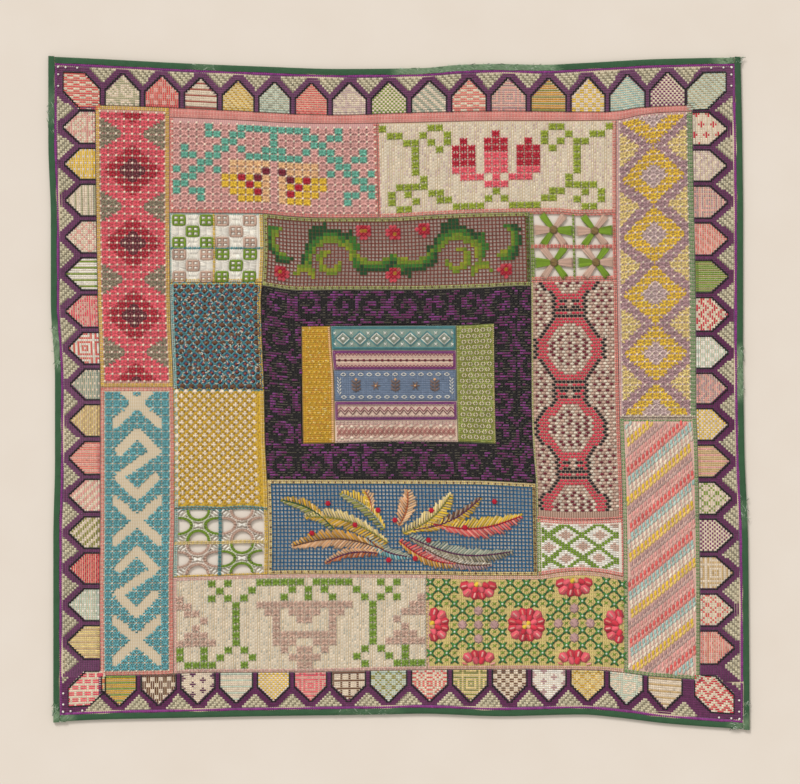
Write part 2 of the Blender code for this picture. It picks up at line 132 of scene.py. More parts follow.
# Cloth: left seam, right seam, bottom seam, top seam, thickness
CLOTHS = {
    "coral_tape": ("left_column", "field_right", "tape_bottom", "field_top", CANVAS),
    "panel_rose_medallions": ("field_left", "left_column", "rose_key", "field_top", CANVAS),
    "panel_teal_key": ("field_left", "left_column", "field_bottom", "rose_key", CANVAS),
    "panel_garland_pink": ("left_column", "pink_linen", "garden_foot", "tape_bottom", CANVAS),
    "panel_buds_linen": ("pink_linen", "right_column", "garden_foot", "tape_bottom", LINEN),
    "panel_yellow_lattice": ("right_column", "field_right", "lattice_stripe", "tape_bottom", CANVAS),
    "panel_slant_stripes": ("right_column", "field_right", "field_bottom", "lattice_stripe", CANVAS),
    "panel_garland_beige": ("left_column", "beige_rosette", "field_bottom", "garland_top", LINEN),
    "panel_rosettes": ("beige_rosette", "right_column", "field_bottom", "garland_top", CANVAS),
    "panel_drawn_blocks": ("left_column", "inner_left", "blocks_knots", "garden_foot", NET),
    "panel_leaf_net": ("inner_left", "inner_right", "leaf_net_foot", "garden_foot", NET),
    "panel_wheels": ("inner_right", "right_column", "wheels_strap", "garden_foot", NET),
    "panel_blue_knots": ("left_column", "inner_left", "knots_ochre", "blocks_knots", CANVAS),
    "panel_ochre_lattice": ("left_column", "inner_left", "ochre_arch", "knots_ochre", CANVAS),
    "panel_arch_openwork": ("left_column", "inner_left", "garland_top", "ochre_arch", NET),
    "panel_strap_octagons": ("inner_right", "right_column", "strap_diamond", "wheels_strap", LINEN),
    "panel_diamond_openwork": ("inner_right", "right_column", "garland_top", "strap_diamond", NET),
    "panel_feather_net": ("inner_left", "inner_right", "garland_top", "feather_top", NET),
    "net_black": ("inner_left", "inner_right", "feather_top", "leaf_net_foot", NET),
    "strip_gold": ("core_left", "gold_bands", "core_bottom", "core_top", LINEN),
    "band_teal": ("gold_bands", "bands_green", "teal_purple", "core_top", CANVAS),
    "band_purple": ("gold_bands", "bands_green", "purple_blue", "teal_purple", LINEN),
    "band_blue": ("gold_bands", "bands_green", "blue_zigzag", "purple_blue", LINEN),
    "band_zigzag": ("gold_bands", "bands_green", "zigzag_rose", "blue_zigzag", LINEN),
    "band_rose": ("gold_bands", "bands_green", "core_bottom", "zigzag_rose", LINEN),
    "strip_green": ("bands_green", "core_right", "core_bottom", "core_top", LINEN),
}

# Counted charts: m mint, a apricot, y yellow, w wine, c crimson, g green, p rose, b fawn, a dot is ground
PINK_GARLAND = """
....m...mmmmmmmmm...m....
....mm.mm...m...mm.mm....
......mm....m....mm......
.m...mm.m..mmm..m.mm...m.
.mm.mm...mmmmmmm...mm.mm.
...mm..aaaaa.aaaaa..mm...
m.mm.m.aaaaw.waaaa.m.mm.m
.mm...yycywa.awycyy...mm.
mm....yyycya.aycyyy....mm
m.mm...yyyca.acyyy...mm.m
...m....yyya.ayyy....m...
.........................
""".split()
LINEN_BUDS = """
g.....gg.............gg.....g
.gg..g..g.....c.....g..g..gg.
...gg.g.g.c..ccc..c.g.g.gg...
....g..g.ccc.ccc.ccc.g..g....
....g....ccc.ppp.ccc....g....
....g....ccc.ppp.ccc....g....
....g....ppp.ppp.ppp....g....
.....g....ppp.p.ppp....g.....
..gggg.......ppp.......gggg..
.g.g..gg......g......gg..g.g.
.g..g..gg....g.g....gg..g..g.
..gg.....gggg...gggg.....gg..
""".split()
BEIGE_GARLAND = """
....g.g...gggggg.ggggg...g.g...
.....g...g....g.g.g...g...g....
b...g.g.g....g..g..g...g.g.g..b
bb.....g..bbbbbbbbbbbb..g....bb
.bb....g...bb.bbbb.bb...g...bbb
...b...g....b..bb..b....g..b...
..b....g....b......b....g...b..
.bbb...g....bbbbbbbb....g..bbb.
bbbbb..g....bbb..bbb....g.bbbbb
g..g..g.g....b.bb.b....g.g..g..
g..g.g...g....bbbb....g...g.g..
.gggg...g......bb......g...gggg
""".split()

# The narrowest cut of a cloth, and the height of the ground under the black net
NARROWEST_CUT = 10.0
NET_GROUND = 0.75

# Border: its depth from the field to the ribbon, and a stitch of its fillings
BORDER_DEPTH = 23.0
COUNT = 1.25
# An arch: its height at the sides, how steeply it rises, half the bar between two, the last bar's place
ARCH_SHOULDER = 8.4
ARCH_SLOPE = 1.0
BAR_HALF = 1.4
END_BAR = 11.7
# The sage triangles: the depth of their tips, how steeply they widen, their lap round the corner
SAGE_TIP = 12.4
SAGE_SLOPE = 1.08
CORNER_LAP = 4.0
# The corner petals: how far out they reach, half their width, how far they lap the field's corner
PETAL_REACH = 18.3
PETAL_HALF = 11.7
PETAL_LAP = 2.8
# Places of the arches' points along each side
ARCH_POINTS = {
    "top": (-165.8, -141.7, -118.4, -96.3, -74.5, -52.7, -30.1, -6,
            18.2, 41.9, 65.6, 89.8, 113.4, 136.4, 161.3),
    "bottom": (-168, -143.8, -120.5, -97.3, -75.2, -53, -30.8, -6.4,
               18.6, 42.7, 66.4, 89.8, 113.3, 136, 159.4),
    "left": (-149.2, -126.6, -105.1, -83.8, -61.6, -39, -16.1, 5.1,
             26.5, 49.1, 71.3, 93.7, 115.5, 137.4, 158.8),
    "right": (-152.2, -130, -107.9, -85.3, -63.1, -40.9, -18.7, 2.8,
              23.8, 47.2, 70.1, 92, 114.7, 136.2, 158),
}
# Fillings of the arches along each side, in the order of their points: pattern, colour, second colour
ARCH_FILLINGS = {
    "top": (("tweed", "sage", "cream"), ("dashes", "pink", "coral"), ("level", "brick", "cream"),
            ("twill", "mustard", "straw"), ("lattice", "grey_green", "pale_mint"),
            ("twill", "coral", "salmon"), ("tweed", "lavender", "cream"), ("speckle", "leaf", "cream"),
            ("slant", "grey_green", "cream"), ("scales", "salmon", "cream"), ("squares", "mauve", "pink"),
            ("level", "olive", "ochre"), ("checks", "yellow", "cream"), ("slant", "aqua", "pale_mint"),
            ("speckle", "violet", "cream")),
    "bottom": (("level", "leaf", "mustard"), ("dashes", "cream", "brown"), ("flowers", "plum", "cream"),
               ("level", "pale_mint", "cream"), ("speckle", "yellow", "cream"), ("squares", "rose", "pink"),
               ("windows", "brown", "cream"), ("lattice", "olive", "pale_mint"), ("rings", "coral", "cream"),
               ("squares", "olive", "straw"), ("checks", "brown", "cream"), ("flowers", "mauve", "white"),
               ("lattice", "mustard", "straw"), ("tweed", "pale_mint", "cream"), ("level", "tan", "cream")),
    "left": (("upright", "tan", "straw"), ("dots", "white", "pale_mint"), ("twill", "scarlet", "coral"),
             ("slant", "olive", "cream"), ("slant", "pink", "cream"), ("upright", "pink", "salmon"),
             ("twill", "straw", "tan"), ("dots", "cream", "grey_green"), ("squares", "coral", "white"),
             ("tweed", "rose", "pink"), ("upright", "leaf", "white"), ("lattice", "pink", "cream"),
             ("level", "sage", "cream"), ("dots", "cream", "yellow"), ("tweed", "pink", "cream")),
    "right": (("tweed", "salmon", "pink"), ("lattice", "coral", "cream"), ("squares", "tan", "cream"),
              ("speckle", "violet", "cream"), ("lattice", "leaf", "cream"), ("upright", "pink", "tan"),
              ("speckle", "yellow", "cream"), ("zigzag", "mauve", "pink"), ("checks", "pale_mint", "white"),
              ("zigzag", "scarlet", "cream"), ("upright", "olive", "leaf"), ("slant", "salmon", "pink"),
              ("squares", "mauve", "pink"), ("zigzag", "lavender", "cream"), ("flowers", "scarlet", "cream")),
}
# Petals at the corners: side, end of the side, pattern, colour, second colour
CORNER_PETALS = (("top", -1, "scales", "coral", "cream"), ("top", 1, "twill", "sage", "pale_mint"),
                 ("bottom", -1, "bricks", "rose", "cream"), ("bottom", 1, "zigzag", "scarlet", "cream"))

# Feathers darned on the blue net: root, tip, half width, colours of its two vanes and its rib
FEATHERS = (
    ((70, 42), (14, 40), 6.5, ("peach", "ochre", "brown")),
    ((72, 38), (22, 22), 6.0, ("mustard", "straw", "olive")),
    ((70, 30), (44, 8), 5.5, ("olive", "yellow", "grey_green")),
    ((66, 44), (34, 50), 3.6, ("rust", "peach", "plum")),
    ((78, 28), (84, 6), 6.0, ("peach", "apricot", "rust")),
    ((80, 32), (110, 8), 6.0, ("straw", "yellow", "olive")),
    ((86, 30), (128, 10), 4.5, ("brown", "mustard", "plum")),
    ((98, 26), (152, 20), 7.0, ("yellow", "coral", "crimson")),
    ((78, 36), (112, 50), 5.0, ("coral", "ochre", "crimson")),
    ((84, 34), (146, 42), 5.5, ("grey_green", "taupe", "plum")),
    ((92, 40), (134, 50), 4.0, ("pale_grey", "mauve", "brown")),
    ((40, 30), (8, 12), 4.5, ("olive", "mustard", "deep_green")),
    ((58, 34), (84, 46), 4.5, ("grey_green", "pale_teal", "plum")),
    ((62, 20), (58, 6), 4.0, ("yellow", "apricot", "rust")),
)
# Scrolls darned on the brown net: middle, radius, first angle and span in degrees, half width
SCROLLS = (
    (40, 24, 14, 150, 230, 4.6), (116, 24, 14, 160, 230, 4.6), (66, 17, 13, 20, 150, 4.0),
    (90, 17, 13, 10, 150, 4.0), (13, 16, 9, 60, 200, 3.2), (143, 16, 9, 280, 200, 3.2),
    (40, 26, 6, 0, 270, 1.8), (116, 26, 6, 270, 270, 1.8), (25, 35, 5, 180, 200, 1.6),
    (131, 35, 5, 160, 200, 1.6),
)
SCROLL_FLOWERS = ((78, 9), (78, 34), (11, 34), (145, 34), (60, 8), (96, 8))
BERRIES = ((36, 14), (52, 27), (66, 18), (98, 18), (118, 28), (136, 12), (72, 48), (88, 47), (26, 32),
           (76, 24), (96, 36))
# Rings of petals in a rosette: count, reach, length, width, threads, lift
ROSETTE_RINGS = (
    (12, 8.2, 7.0, 5.6, ("scarlet", "rose", "scarlet"), 0.0),
    (12, 8.8, 3.8, 1.2, ("pink", "salmon"), 0.6),
    (8, 4.6, 5.2, 3.8, ("rose", "scarlet"), 0.4),
    (4, 1.3, 3.8, 2.8, ("yellow", "peach"), 0.8),
)
# How deep a stitch is sunk in its cloth
SUNK = 0.1
# The rows that frame a cloth: the first one's inset, their ends, their stitch, slant and paleness
FRAME_INSET = 0.55
FRAME_END = 0.3
FRAME_PITCH = 1.15
FRAME_SHARE = 0.92
FRAME_SLANT = 0.6
FRAME_PALE = 0.3
# The arms of a star, as shares of its square, and how much lighter or darker than its thread they are: a
# painted highlight on the long slanted arms, which lie on top, and painted shade on the short ones
LONG_ARM = 0.66
SHORT_ARM = 0.52
ARM_WIDTH = 0.21
ARM_HEIGHT = 0.75
LONG_ARM_PAINTED_HIGHLIGHT = 1.2
SHORT_ARM_PAINTED_SHADE = 0.92


def linear(colour):
    """A colour given in 0 to 255 steps, as linear light."""
    return tuple((c / 255 / 12.92) if c <= 10 else ((c / 255 + 0.055) / 1.055) ** 2.4 for c in colour)


def thread(label, description, *colour):
    return bpy.props.FloatVectorProperty(name=label, description=description, subtype="COLOR", size=3,
                                         min=0, max=1, default=linear(colour))


class ThreadColours(bpy.types.PropertyGroup):
    """Colours of the threads."""

    white: thread("White", "Bleached linen thread of the drawn work", 240, 233, 220)
    cream: thread("Cream", "Cream wool and cotton", 232, 214, 190)
    straw: thread("Straw", "Pale yellow wool", 230, 204, 132)
    tan: thread("Tan", "Golden tan wool", 205, 172, 118)
    yellow: thread("Yellow", "Bright yellow wool", 232, 192, 56)
    gold: thread("Gold", "Gold wool of the frame rows", 224, 186, 70)
    mustard: thread("Mustard", "Deep gold silk", 206, 160, 40)
    ochre: thread("Ochre", "Ochre wool", 208, 150, 52)
    apricot: thread("Apricot", "Apricot wool", 238, 190, 140)
    peach: thread("Peach", "Peach wool", 226, 170, 120)
    rust: thread("Rust", "Rust wool", 190, 100, 50)
    brown: thread("Brown", "Brown wool", 112, 72, 48)
    brick: thread("Brick", "Red brown wool", 168, 82, 70)
    pink: thread("Pink", "Pale pink wool", 228, 160, 150)
    salmon: thread("Salmon", "Salmon wool", 226, 128, 116)
    coral: thread("Coral", "Coral wool", 224, 98, 92)
    sand: thread("Sand", "Sand silk behind the flowers", 208, 180, 118)
    scarlet: thread("Scarlet", "Red silk", 208, 50, 66)
    rose: thread("Rose", "Rose red wool", 232, 94, 106)
    crimson: thread("Crimson", "Crimson wool", 184, 22, 46)
    wine: thread("Wine", "Dark red wool", 126, 24, 46)
    maroon: thread("Maroon", "Maroon wool", 112, 34, 46)
    dusty_pink: thread("Dusty pink", "Faded pink wool", 222, 168, 158)
    lavender: thread("Lavender", "Pale lilac wool", 206, 180, 174)
    mauve: thread("Mauve", "Mauve wool", 182, 144, 146)
    plum: thread("Plum", "Purple wool of the border zigzag", 98, 40, 80)
    dull_plum: thread("Dull plum", "Faded purple wool", 116, 70, 100)
    magenta: thread("Magenta", "Magenta silk beside the ribbon", 138, 56, 128)
    violet: thread("Violet", "Dark violet silk", 120, 36, 96)
    black: thread("Black", "Black wool", 29, 22, 22)
    taupe: thread("Taupe", "Grey brown wool", 150, 138, 112)
    sage: thread("Sage", "Sage wool", 176, 172, 136)
    grey_green: thread("Grey green", "Grey green wool", 160, 168, 148)
    olive: thread("Olive", "Olive wool", 146, 144, 66)
    leaf: thread("Leaf green", "Yellow green wool", 122, 150, 44)
    lime: thread("Lime", "Lime wool", 152, 164, 44)
    green: thread("Green", "Clear green wool", 62, 126, 48)
    deep_green: thread("Deep green", "Dark green wool", 30, 84, 44)
    frame_green: thread("Frame green", "Green cotton of the frame rows", 108, 150, 84)
    ribbon_green: thread("Ribbon green", "Dark green silk ribbon", 50, 90, 56)
    worn_green: thread("Worn green", "Worn green silk ribbon", 132, 156, 120)
    mint: thread("Mint", "Mint wool", 112, 180, 156)
    pale_mint: thread("Pale mint", "Pale mint wool", 196, 208, 188)
    aqua: thread("Aqua", "Pale blue green wool", 164, 194, 184)
    teal: thread("Teal", "Teal wool", 78, 142, 146)
    pale_teal: thread("Pale teal", "Pale teal wool", 112, 174, 178)
    blue: thread("Blue", "Blue silk", 120, 132, 152)
    berry: thread("Berry", "Berry red silk", 158, 62, 88)
    bronze: thread("Bronze", "Bronze silk of the small stars", 118, 96, 88)
    dull_mauve: thread("Dull mauve", "Faded brown pink wool", 186, 146, 140)
    ecru: thread("Ecru", "Unbleached linen", 222, 208, 186)
    fawn: thread("Fawn", "Fawn pink cotton", 200, 166, 146)
    hub_brown: thread("Hub brown", "Olive brown cotton of the wheel hubs", 128, 104, 62)
    moss: thread("Moss", "Pale yellow green wool", 172, 176, 98)
    pale_grey: thread("Pale grey", "Pale grey cotton", 190, 184, 168)
    pale_sage: thread("Pale sage", "Pale sage wool", 210, 198, 166)
    peach_pink: thread("Peach pink", "Peach pink wool", 238, 186, 164)
    rose_red: thread("Rose red", "Red wool of the straps", 214, 62, 80)
    net_blue: thread("Net blue", "Blue cotton of the net", 44, 102, 140)
    net_brown: thread("Net brown", "Red brown cotton of the net", 136, 76, 62)


class SamplerSizes(bpy.types.PropertyGroup):
    """Sizes of the stitches, in metres."""

    star_pitch: bpy.props.FloatProperty(
        name="Star pitch", description="Width of one star stitch", default=4.79 * MM, unit="LENGTH")
    net_pitch: bpy.props.FloatProperty(
        name="Net pitch", description="Mesh of the darned nets", default=2.2 * MM, unit="LENGTH")
    fine_pitch: bpy.props.FloatProperty(
        name="Fine pitch", description="Mesh of the dark net", default=1.5 * MM, unit="LENGTH")
    border_pitch: bpy.props.FloatProperty(
        name="Border pitch", description="Stitch of the border's zigzag", default=1.3 * MM, unit="LENGTH")
    frame_wide: bpy.props.FloatProperty(
        name="View width", description="Width that the camera takes in", default=0.48, unit="LENGTH")
    unevenness: bpy.props.FloatProperty(
        name="Unevenness", description="How much one stitch differs in tone from the next", default=0.09,
        min=0, max=0.3, subtype="FACTOR")


def tint(*names):
    """The linear colours of some threads, one row each."""
    threads = bpy.context.scene.sampler_threads
    return np.array([tuple(getattr(threads, name)) for name in names])


def size(name):
    """One of the sizes, in millimetres."""
    return getattr(bpy.context.scene.sampler_sizes, name) / MM


class Seam:
    """A smooth curve through a seam's stations, level where it turns."""

    def __init__(self, stations):
        self.at, self.across = np.array(stations, float).T
        steps = np.diff(self.across) / np.diff(self.at)
        before, after = steps[:-1], steps[1:]
        total = np.where(before * after > 0, before + after, 1)
        inner = np.where(before * after > 0, 2 * before * after / total, 0)
        self.slopes = np.concatenate((steps[:1], inner, steps[-1:]))

    def __call__(self, along):
        along = np.asarray(along, float)
        k = np.clip(np.searchsorted(self.at, along) - 1, 0, len(self.at) - 2)
        wide = self.at[k + 1] - self.at[k]
        t = np.clip((along - self.at[k]) / wide, 0, 1)
        curve = self.across[k] * (1 + 2 * t) * (1 - t) ** 2 + self.across[k + 1] * t * t * (3 - 2 * t)
        lean = wide * t * (1 - t) * (self.slopes[k] * (1 - t) - self.slopes[k + 1] * t)
        before = np.minimum(along - self.at[0], 0) * self.slopes[0]
        after = np.maximum(along - self.at[-1], 0) * self.slopes[-1]
        return curve + lean + before + after


SEAMS = {name: Seam(stations) for name, stations in SEAM_STATIONS.items()}


def place(sides, u, v, inset=0.0):
    """The points a share u across and v up the cloth between four seams, each moved in by the inset."""
    left, right, bottom, top = (SEAMS[side] for side in sides)
    x = left(0) + (right(0) - left(0)) * u
    for _ in range(7):
        low, high = bottom(x) + inset, top(x) - inset
        y = low + (high - low) * v
        near, far = left(y) + inset, right(y) - inset
        x = near + (far - near) * u
    return x, y


def pucker(x, y):
    """The small unevenness of the stitched cloth."""
    drift = np.sin(y / (2 * PUCKER_LENGTH_Y))
    return PUCKER_HEIGHT * np.sin(x / PUCKER_LENGTH_X + drift) * np.sin(y / PUCKER_LENGTH_Y + 0.7)


def spaced(start, stop, pitch):
    """Even places from start to stop, about a pitch apart, each in the middle of its share."""
    count = max(1, round((stop - start) / pitch))
    return start + (np.arange(count) + 0.5) * (stop - start) / count


def raster(s, t):
    """Every place of a grid of columns s and rows t."""
    across, down = np.meshgrid(s, t)
    return across.ravel(), down.ravel()


def corners_of(bm):
    """A shape's points and triangles as arrays."""
    bmesh.ops.triangulate(bm, faces=bm.faces)
    bm.verts.ensure_lookup_table()
    points = np.array([vert.co for vert in bm.verts])
    faces = np.array([[vert.index for vert in face.verts] for face in bm.faces])
    bm.free()
    return points, faces


def roof_shape():
    """A short stitch one unit long, wide and high, with a ridge."""
    bm = bmesh.new()
    bmesh.ops.create_cube(bm, size=1, matrix=Matrix.Translation((0, 0, 0.5)))
    ridge = [vert for vert in bm.verts if vert.co.z > 0.5]
    bmesh.ops.scale(bm, vec=(0.62, 0, 1), verts=ridge)
    bmesh.ops.remove_doubles(bm, verts=bm.verts, dist=0.001)
    return corners_of(bm)


def grain_shape():
    """A plump stitch one unit long, with pinched ends and a ridge."""
    bm = bmesh.new()
    bmesh.ops.create_cone(bm, cap_ends=True, segments=4, radius1=0.5, radius2=0.5, depth=0.56)
    caps = [face for face in bm.faces if abs(face.normal.z) > 0.9]
    tips = bmesh.ops.poke(bm, faces=caps)["verts"]
    bmesh.ops.scale(bm, vec=(1, 1, 0.5 / 0.28), verts=tips)
    bmesh.ops.rotate(bm, matrix=Matrix.Rotation(math.pi / 2, 3, "Y"), verts=bm.verts)
    bmesh.ops.translate(bm, vec=(0, 0, 0.35), verts=bm.verts)
    return corners_of(bm)


def bead_shape():
    """A small round knot."""
    bm = bmesh.new()
    bmesh.ops.create_icosphere(bm, subdivisions=1, radius=0.5)
    bmesh.ops.translate(bm, vec=(0, 0, 0.3), verts=bm.verts)
    return corners_of(bm)


SHAPES = {"roof": roof_shape(), "grain": grain_shape(), "bead": bead_shape()}


class Value:
    """A shader socket that Python's operators combine through Math nodes."""

    def __init__(self, recipe, socket):
        self.recipe = recipe
        self.socket = socket

    def math(self, operation, *others):
        return self.recipe.node("ShaderNodeMath", {"operation": operation}, dict(enumerate((self, *others))))

    def __add__(self, other):
        return self.math("ADD", other)

    def __mul__(self, other):
        return self.math("MULTIPLY", other)

    __radd__ = __add__
    __rmul__ = __mul__


class Recipe:
    """A material, with nodes added from a type, its settings and the values of its sockets."""

    def __init__(self, name, fixed):
        self.material = bpy.data.materials.new(name)
        self.material.use_nodes = True
        self.tree = self.material.node_tree
        self.shader = self.tree.nodes["Principled BSDF"]
        for socket, value in fixed.items():
            self.shader.inputs[socket].default_value = value

    def node(self, kind, settings, values, output=0):
        made = self.tree.nodes.new(kind)
        for name, value in settings.items():
            setattr(made, name, value)
        for key, value in values.items():
            self.join(made.inputs[key], value)
        return Value(self, made.outputs[output])

    def join(self, socket, value):
        if isinstance(value, Value):
            self.tree.links.new(value.socket, socket)
        else:
            socket.default_value = value

    def spot(self):
        """Object coordinates in millimetres."""
        where = self.node("ShaderNodeTexCoord", {}, {}, "Object")
        return self.node("ShaderNodeVectorMath", {"operation": "SCALE"}, {0: where, "Scale": 1 / MM})

    def noise(self, where, length, detail=2.0):
        """Noise from 0 to 1 with a length in millimetres."""
        return self.node("ShaderNodeTexNoise", {}, {"Vector": where, "Scale": 1 / length, "Detail": detail})

    def stretched(self, where, x, y, z):
        return self.node("ShaderNodeVectorMath", {"operation": "MULTIPLY"}, {0: where, 1: (x, y, z)})

    def mix(self, factor, first, second, blend="MIX"):
        settings = {"data_type": "RGBA", "blend_type": blend}
        return self.node("ShaderNodeMix", settings, {0: factor, 6: first, 7: second}, 2)

    def attribute(self, name):
        return self.node("ShaderNodeAttribute", {"attribute_name": name}, {}, "Color")

    def finish(self, colour, roughness, height, depth):
        """Joins a colour, a roughness and a bump of that depth in millimetres to the shader."""
        bump = self.node("ShaderNodeBump", {}, {"Height": height, "Distance": depth * MM, "Strength": 1.0})
        self.join(self.shader.inputs["Base Color"], colour)
        self.join(self.shader.inputs["Roughness"], roughness)
        self.join(self.shader.inputs["Normal"], bump)
        return self.material


def thread_finish(name, roughness, sheen, twist, hairiness):
    """Spun thread: its colour from the stitches, with fibres, plies and a little fading."""
    recipe = Recipe(name, {"Sheen Weight": sheen, "Sheen Roughness": 0.45, "Specular IOR Level": 0.3})
    where = recipe.spot()
    fibres = recipe.noise(where, hairiness, 3.0)
    fading = recipe.noise(where, 14.0)
    plies = recipe.noise(recipe.stretched(where, 1, 1, 0.4), twist)
    tone = fibres * 0.3 + plies * 0.24 + fading * 0.26 + 0.6
    colour = recipe.mix(1.0, recipe.attribute("thread"), tone, "MULTIPLY")
    return recipe.finish(colour, fibres * 0.2 + (roughness - 0.1), fibres * 0.5 + plies, 0.12)


def cloth_finish(name, shade, painted_gap_shade, across, down, stagger):
    """A ground cloth of upright stitches, across wide and down high, with painted shade in the gaps between
    them as a darker colour.
    """
    recipe = Recipe(name, {"Sheen Weight": 0.15, "Specular IOR Level": 0.2})
    where = recipe.spot()
    wobble = recipe.noise(where, 5.0)
    x = recipe.node("ShaderNodeSeparateXYZ", {}, {0: where})
    y = Value(recipe, x.socket.node.outputs[1])
    columns = ((x + wobble * 0.5) * (math.pi / across)).math("SINE").math("ABSOLUTE")
    steps = ((y + columns * stagger + wobble * 0.4) * (math.pi / down)).math("SINE").math("ABSOLUTE")
    height = (columns * (steps * 0.5 + 0.5)).math("POWER", 0.6)
    fibres = recipe.noise(where, 0.35, 3.0)
    fading = recipe.noise(where, 17.0)
    # Painted shade: the colour darkens towards the gap colour where the stitch height is low, in the grooves
    # between stitches.
    colour = recipe.mix(height, (*tint(painted_gap_shade)[0], 1), (*tint(shade)[0], 1))
    tone = fibres * 0.24 + fading * 0.22 + 0.76
    colour = recipe.mix(1.0, colour, tone, "MULTIPLY")
    return recipe.finish(colour, 0.86 + fibres * 0.1, height + fibres * 0.3, 0.25)


def ribbon_finish():
    """Silk ribbon, finely ribbed, worn through to paler threads where its colour attribute is pale."""
    fixed = {"Sheen Weight": 0.25, "Sheen Roughness": 0.35, "Specular IOR Level": 0.35}
    recipe = Recipe("ribbon_silk", fixed)
    where = recipe.spot()
    streaks = recipe.noise(where, 0.5, 4.0)
    patches = recipe.noise(where, 6.0, 3.0)
    ribs = recipe.noise(where, 0.22)
    tone = streaks * 0.8 + patches * 0.5 + 0.32
    colour = recipe.mix(1.0, recipe.attribute("thread"), tone, "MULTIPLY")
    return recipe.finish(colour, patches * 0.2 + 0.5, ribs + streaks * 0.8, 0.25)


def board_finish():
    """The pale board under the sampler."""
    recipe = Recipe("pale_board", {"Specular IOR Level": 0.1})
    where = recipe.spot()
    mottle = recipe.noise(where, 40.0, 3.0)
    tooth = recipe.noise(where, 1.2)
    light, shade = (*linear((236, 225, 212)), 1), (*linear((230, 217, 202)), 1)
    return recipe.finish(recipe.mix(mottle, light, shade), 0.9 + tooth * 0.05, tooth, 0.02)


# Threads: roughness, sheen, length of a ply, length of a fibre
THREADS = {"wool": (0.85, 0.3, 0.9, 0.3), "silk": (0.55, 0.2, 0.5, 0.2), "linen": (0.8, 0.12, 0.7, 0.25)}
FINISHES = {}


def finish_of(name):
    """The shared thread finishes, each made once."""
    if name not in FINISHES:
        FINISHES[name] = thread_finish(f"{name}_thread", *THREADS[name])
    return FINISHES[name]


def flat_map(mesh, points):
    """A map that looks straight down on the piece."""
    low, high = points[:, :2].min(axis=0), points[:, :2].max(axis=0)
    loops = np.empty(len(mesh.loops), dtype=np.int32)
    mesh.loops.foreach_get("vertex_index", loops)
    layer = mesh.uv_layers.new(name="OFBake")
    layer.data.foreach_set("uv", ((points[loops, :2] - low) / (high - low)).astype(np.float32).ravel())


def own(piece, node):
    """The piece rides with the sampler; the node is not used."""
    bpy.context.scene.collection.objects.link(piece)
    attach(piece, "root")
    return piece


def joined(name, laid, finish):
    """One mesh of many stitches, with their colours as the attribute that the thread finish reads."""
    points, faces, colours = [], [], []
    start = 0
    for kind, centre, along, extent, colour in laid:
        base, corners = SHAPES[kind]
        local = base[None] * extent[:, None]
        x = local[..., 0] * along[:, None, 0] - local[..., 1] * along[:, None, 1] + centre[:, None, 0]
        y = local[..., 0] * along[:, None, 1] + local[..., 1] * along[:, None, 0] + centre[:, None, 1]
        z = local[..., 2] + centre[:, None, 2]
        points.append(np.stack((x, y, z), axis=-1).reshape(-1, 3))
        steps = start + len(base) * np.arange(len(centre))
        faces.append((corners[None] + steps[:, None, None]).reshape(-1, 3))
        colours.append(np.repeat(colour, len(base), axis=0))
        start += len(base) * len(centre)
    points = np.concatenate(points) * MM
    faces = np.concatenate(faces)
    mesh = bpy.data.meshes.new(name)
    mesh.vertices.add(len(points))
    mesh.vertices.foreach_set("co", points.astype(np.float32).ravel())
    mesh.loops.add(faces.size)
    mesh.loops.foreach_set("vertex_index", faces.astype(np.int32).ravel())
    mesh.polygons.add(len(faces))
    mesh.polygons.foreach_set("loop_start", np.arange(0, faces.size, 3, dtype=np.int32))
    mesh.update(calc_edges=True)
    layer = mesh.attributes.new("thread", "FLOAT_COLOR", "POINT")
    shades = np.concatenate((np.concatenate(colours), np.ones((len(points), 1))), axis=1)
    layer.data.foreach_set("color", shades.astype(np.float32).ravel())
    mesh.shade_smooth()
    flat_map(mesh, points)
    mesh.materials.append(finish)
    return bpy.data.objects.new(name, mesh)


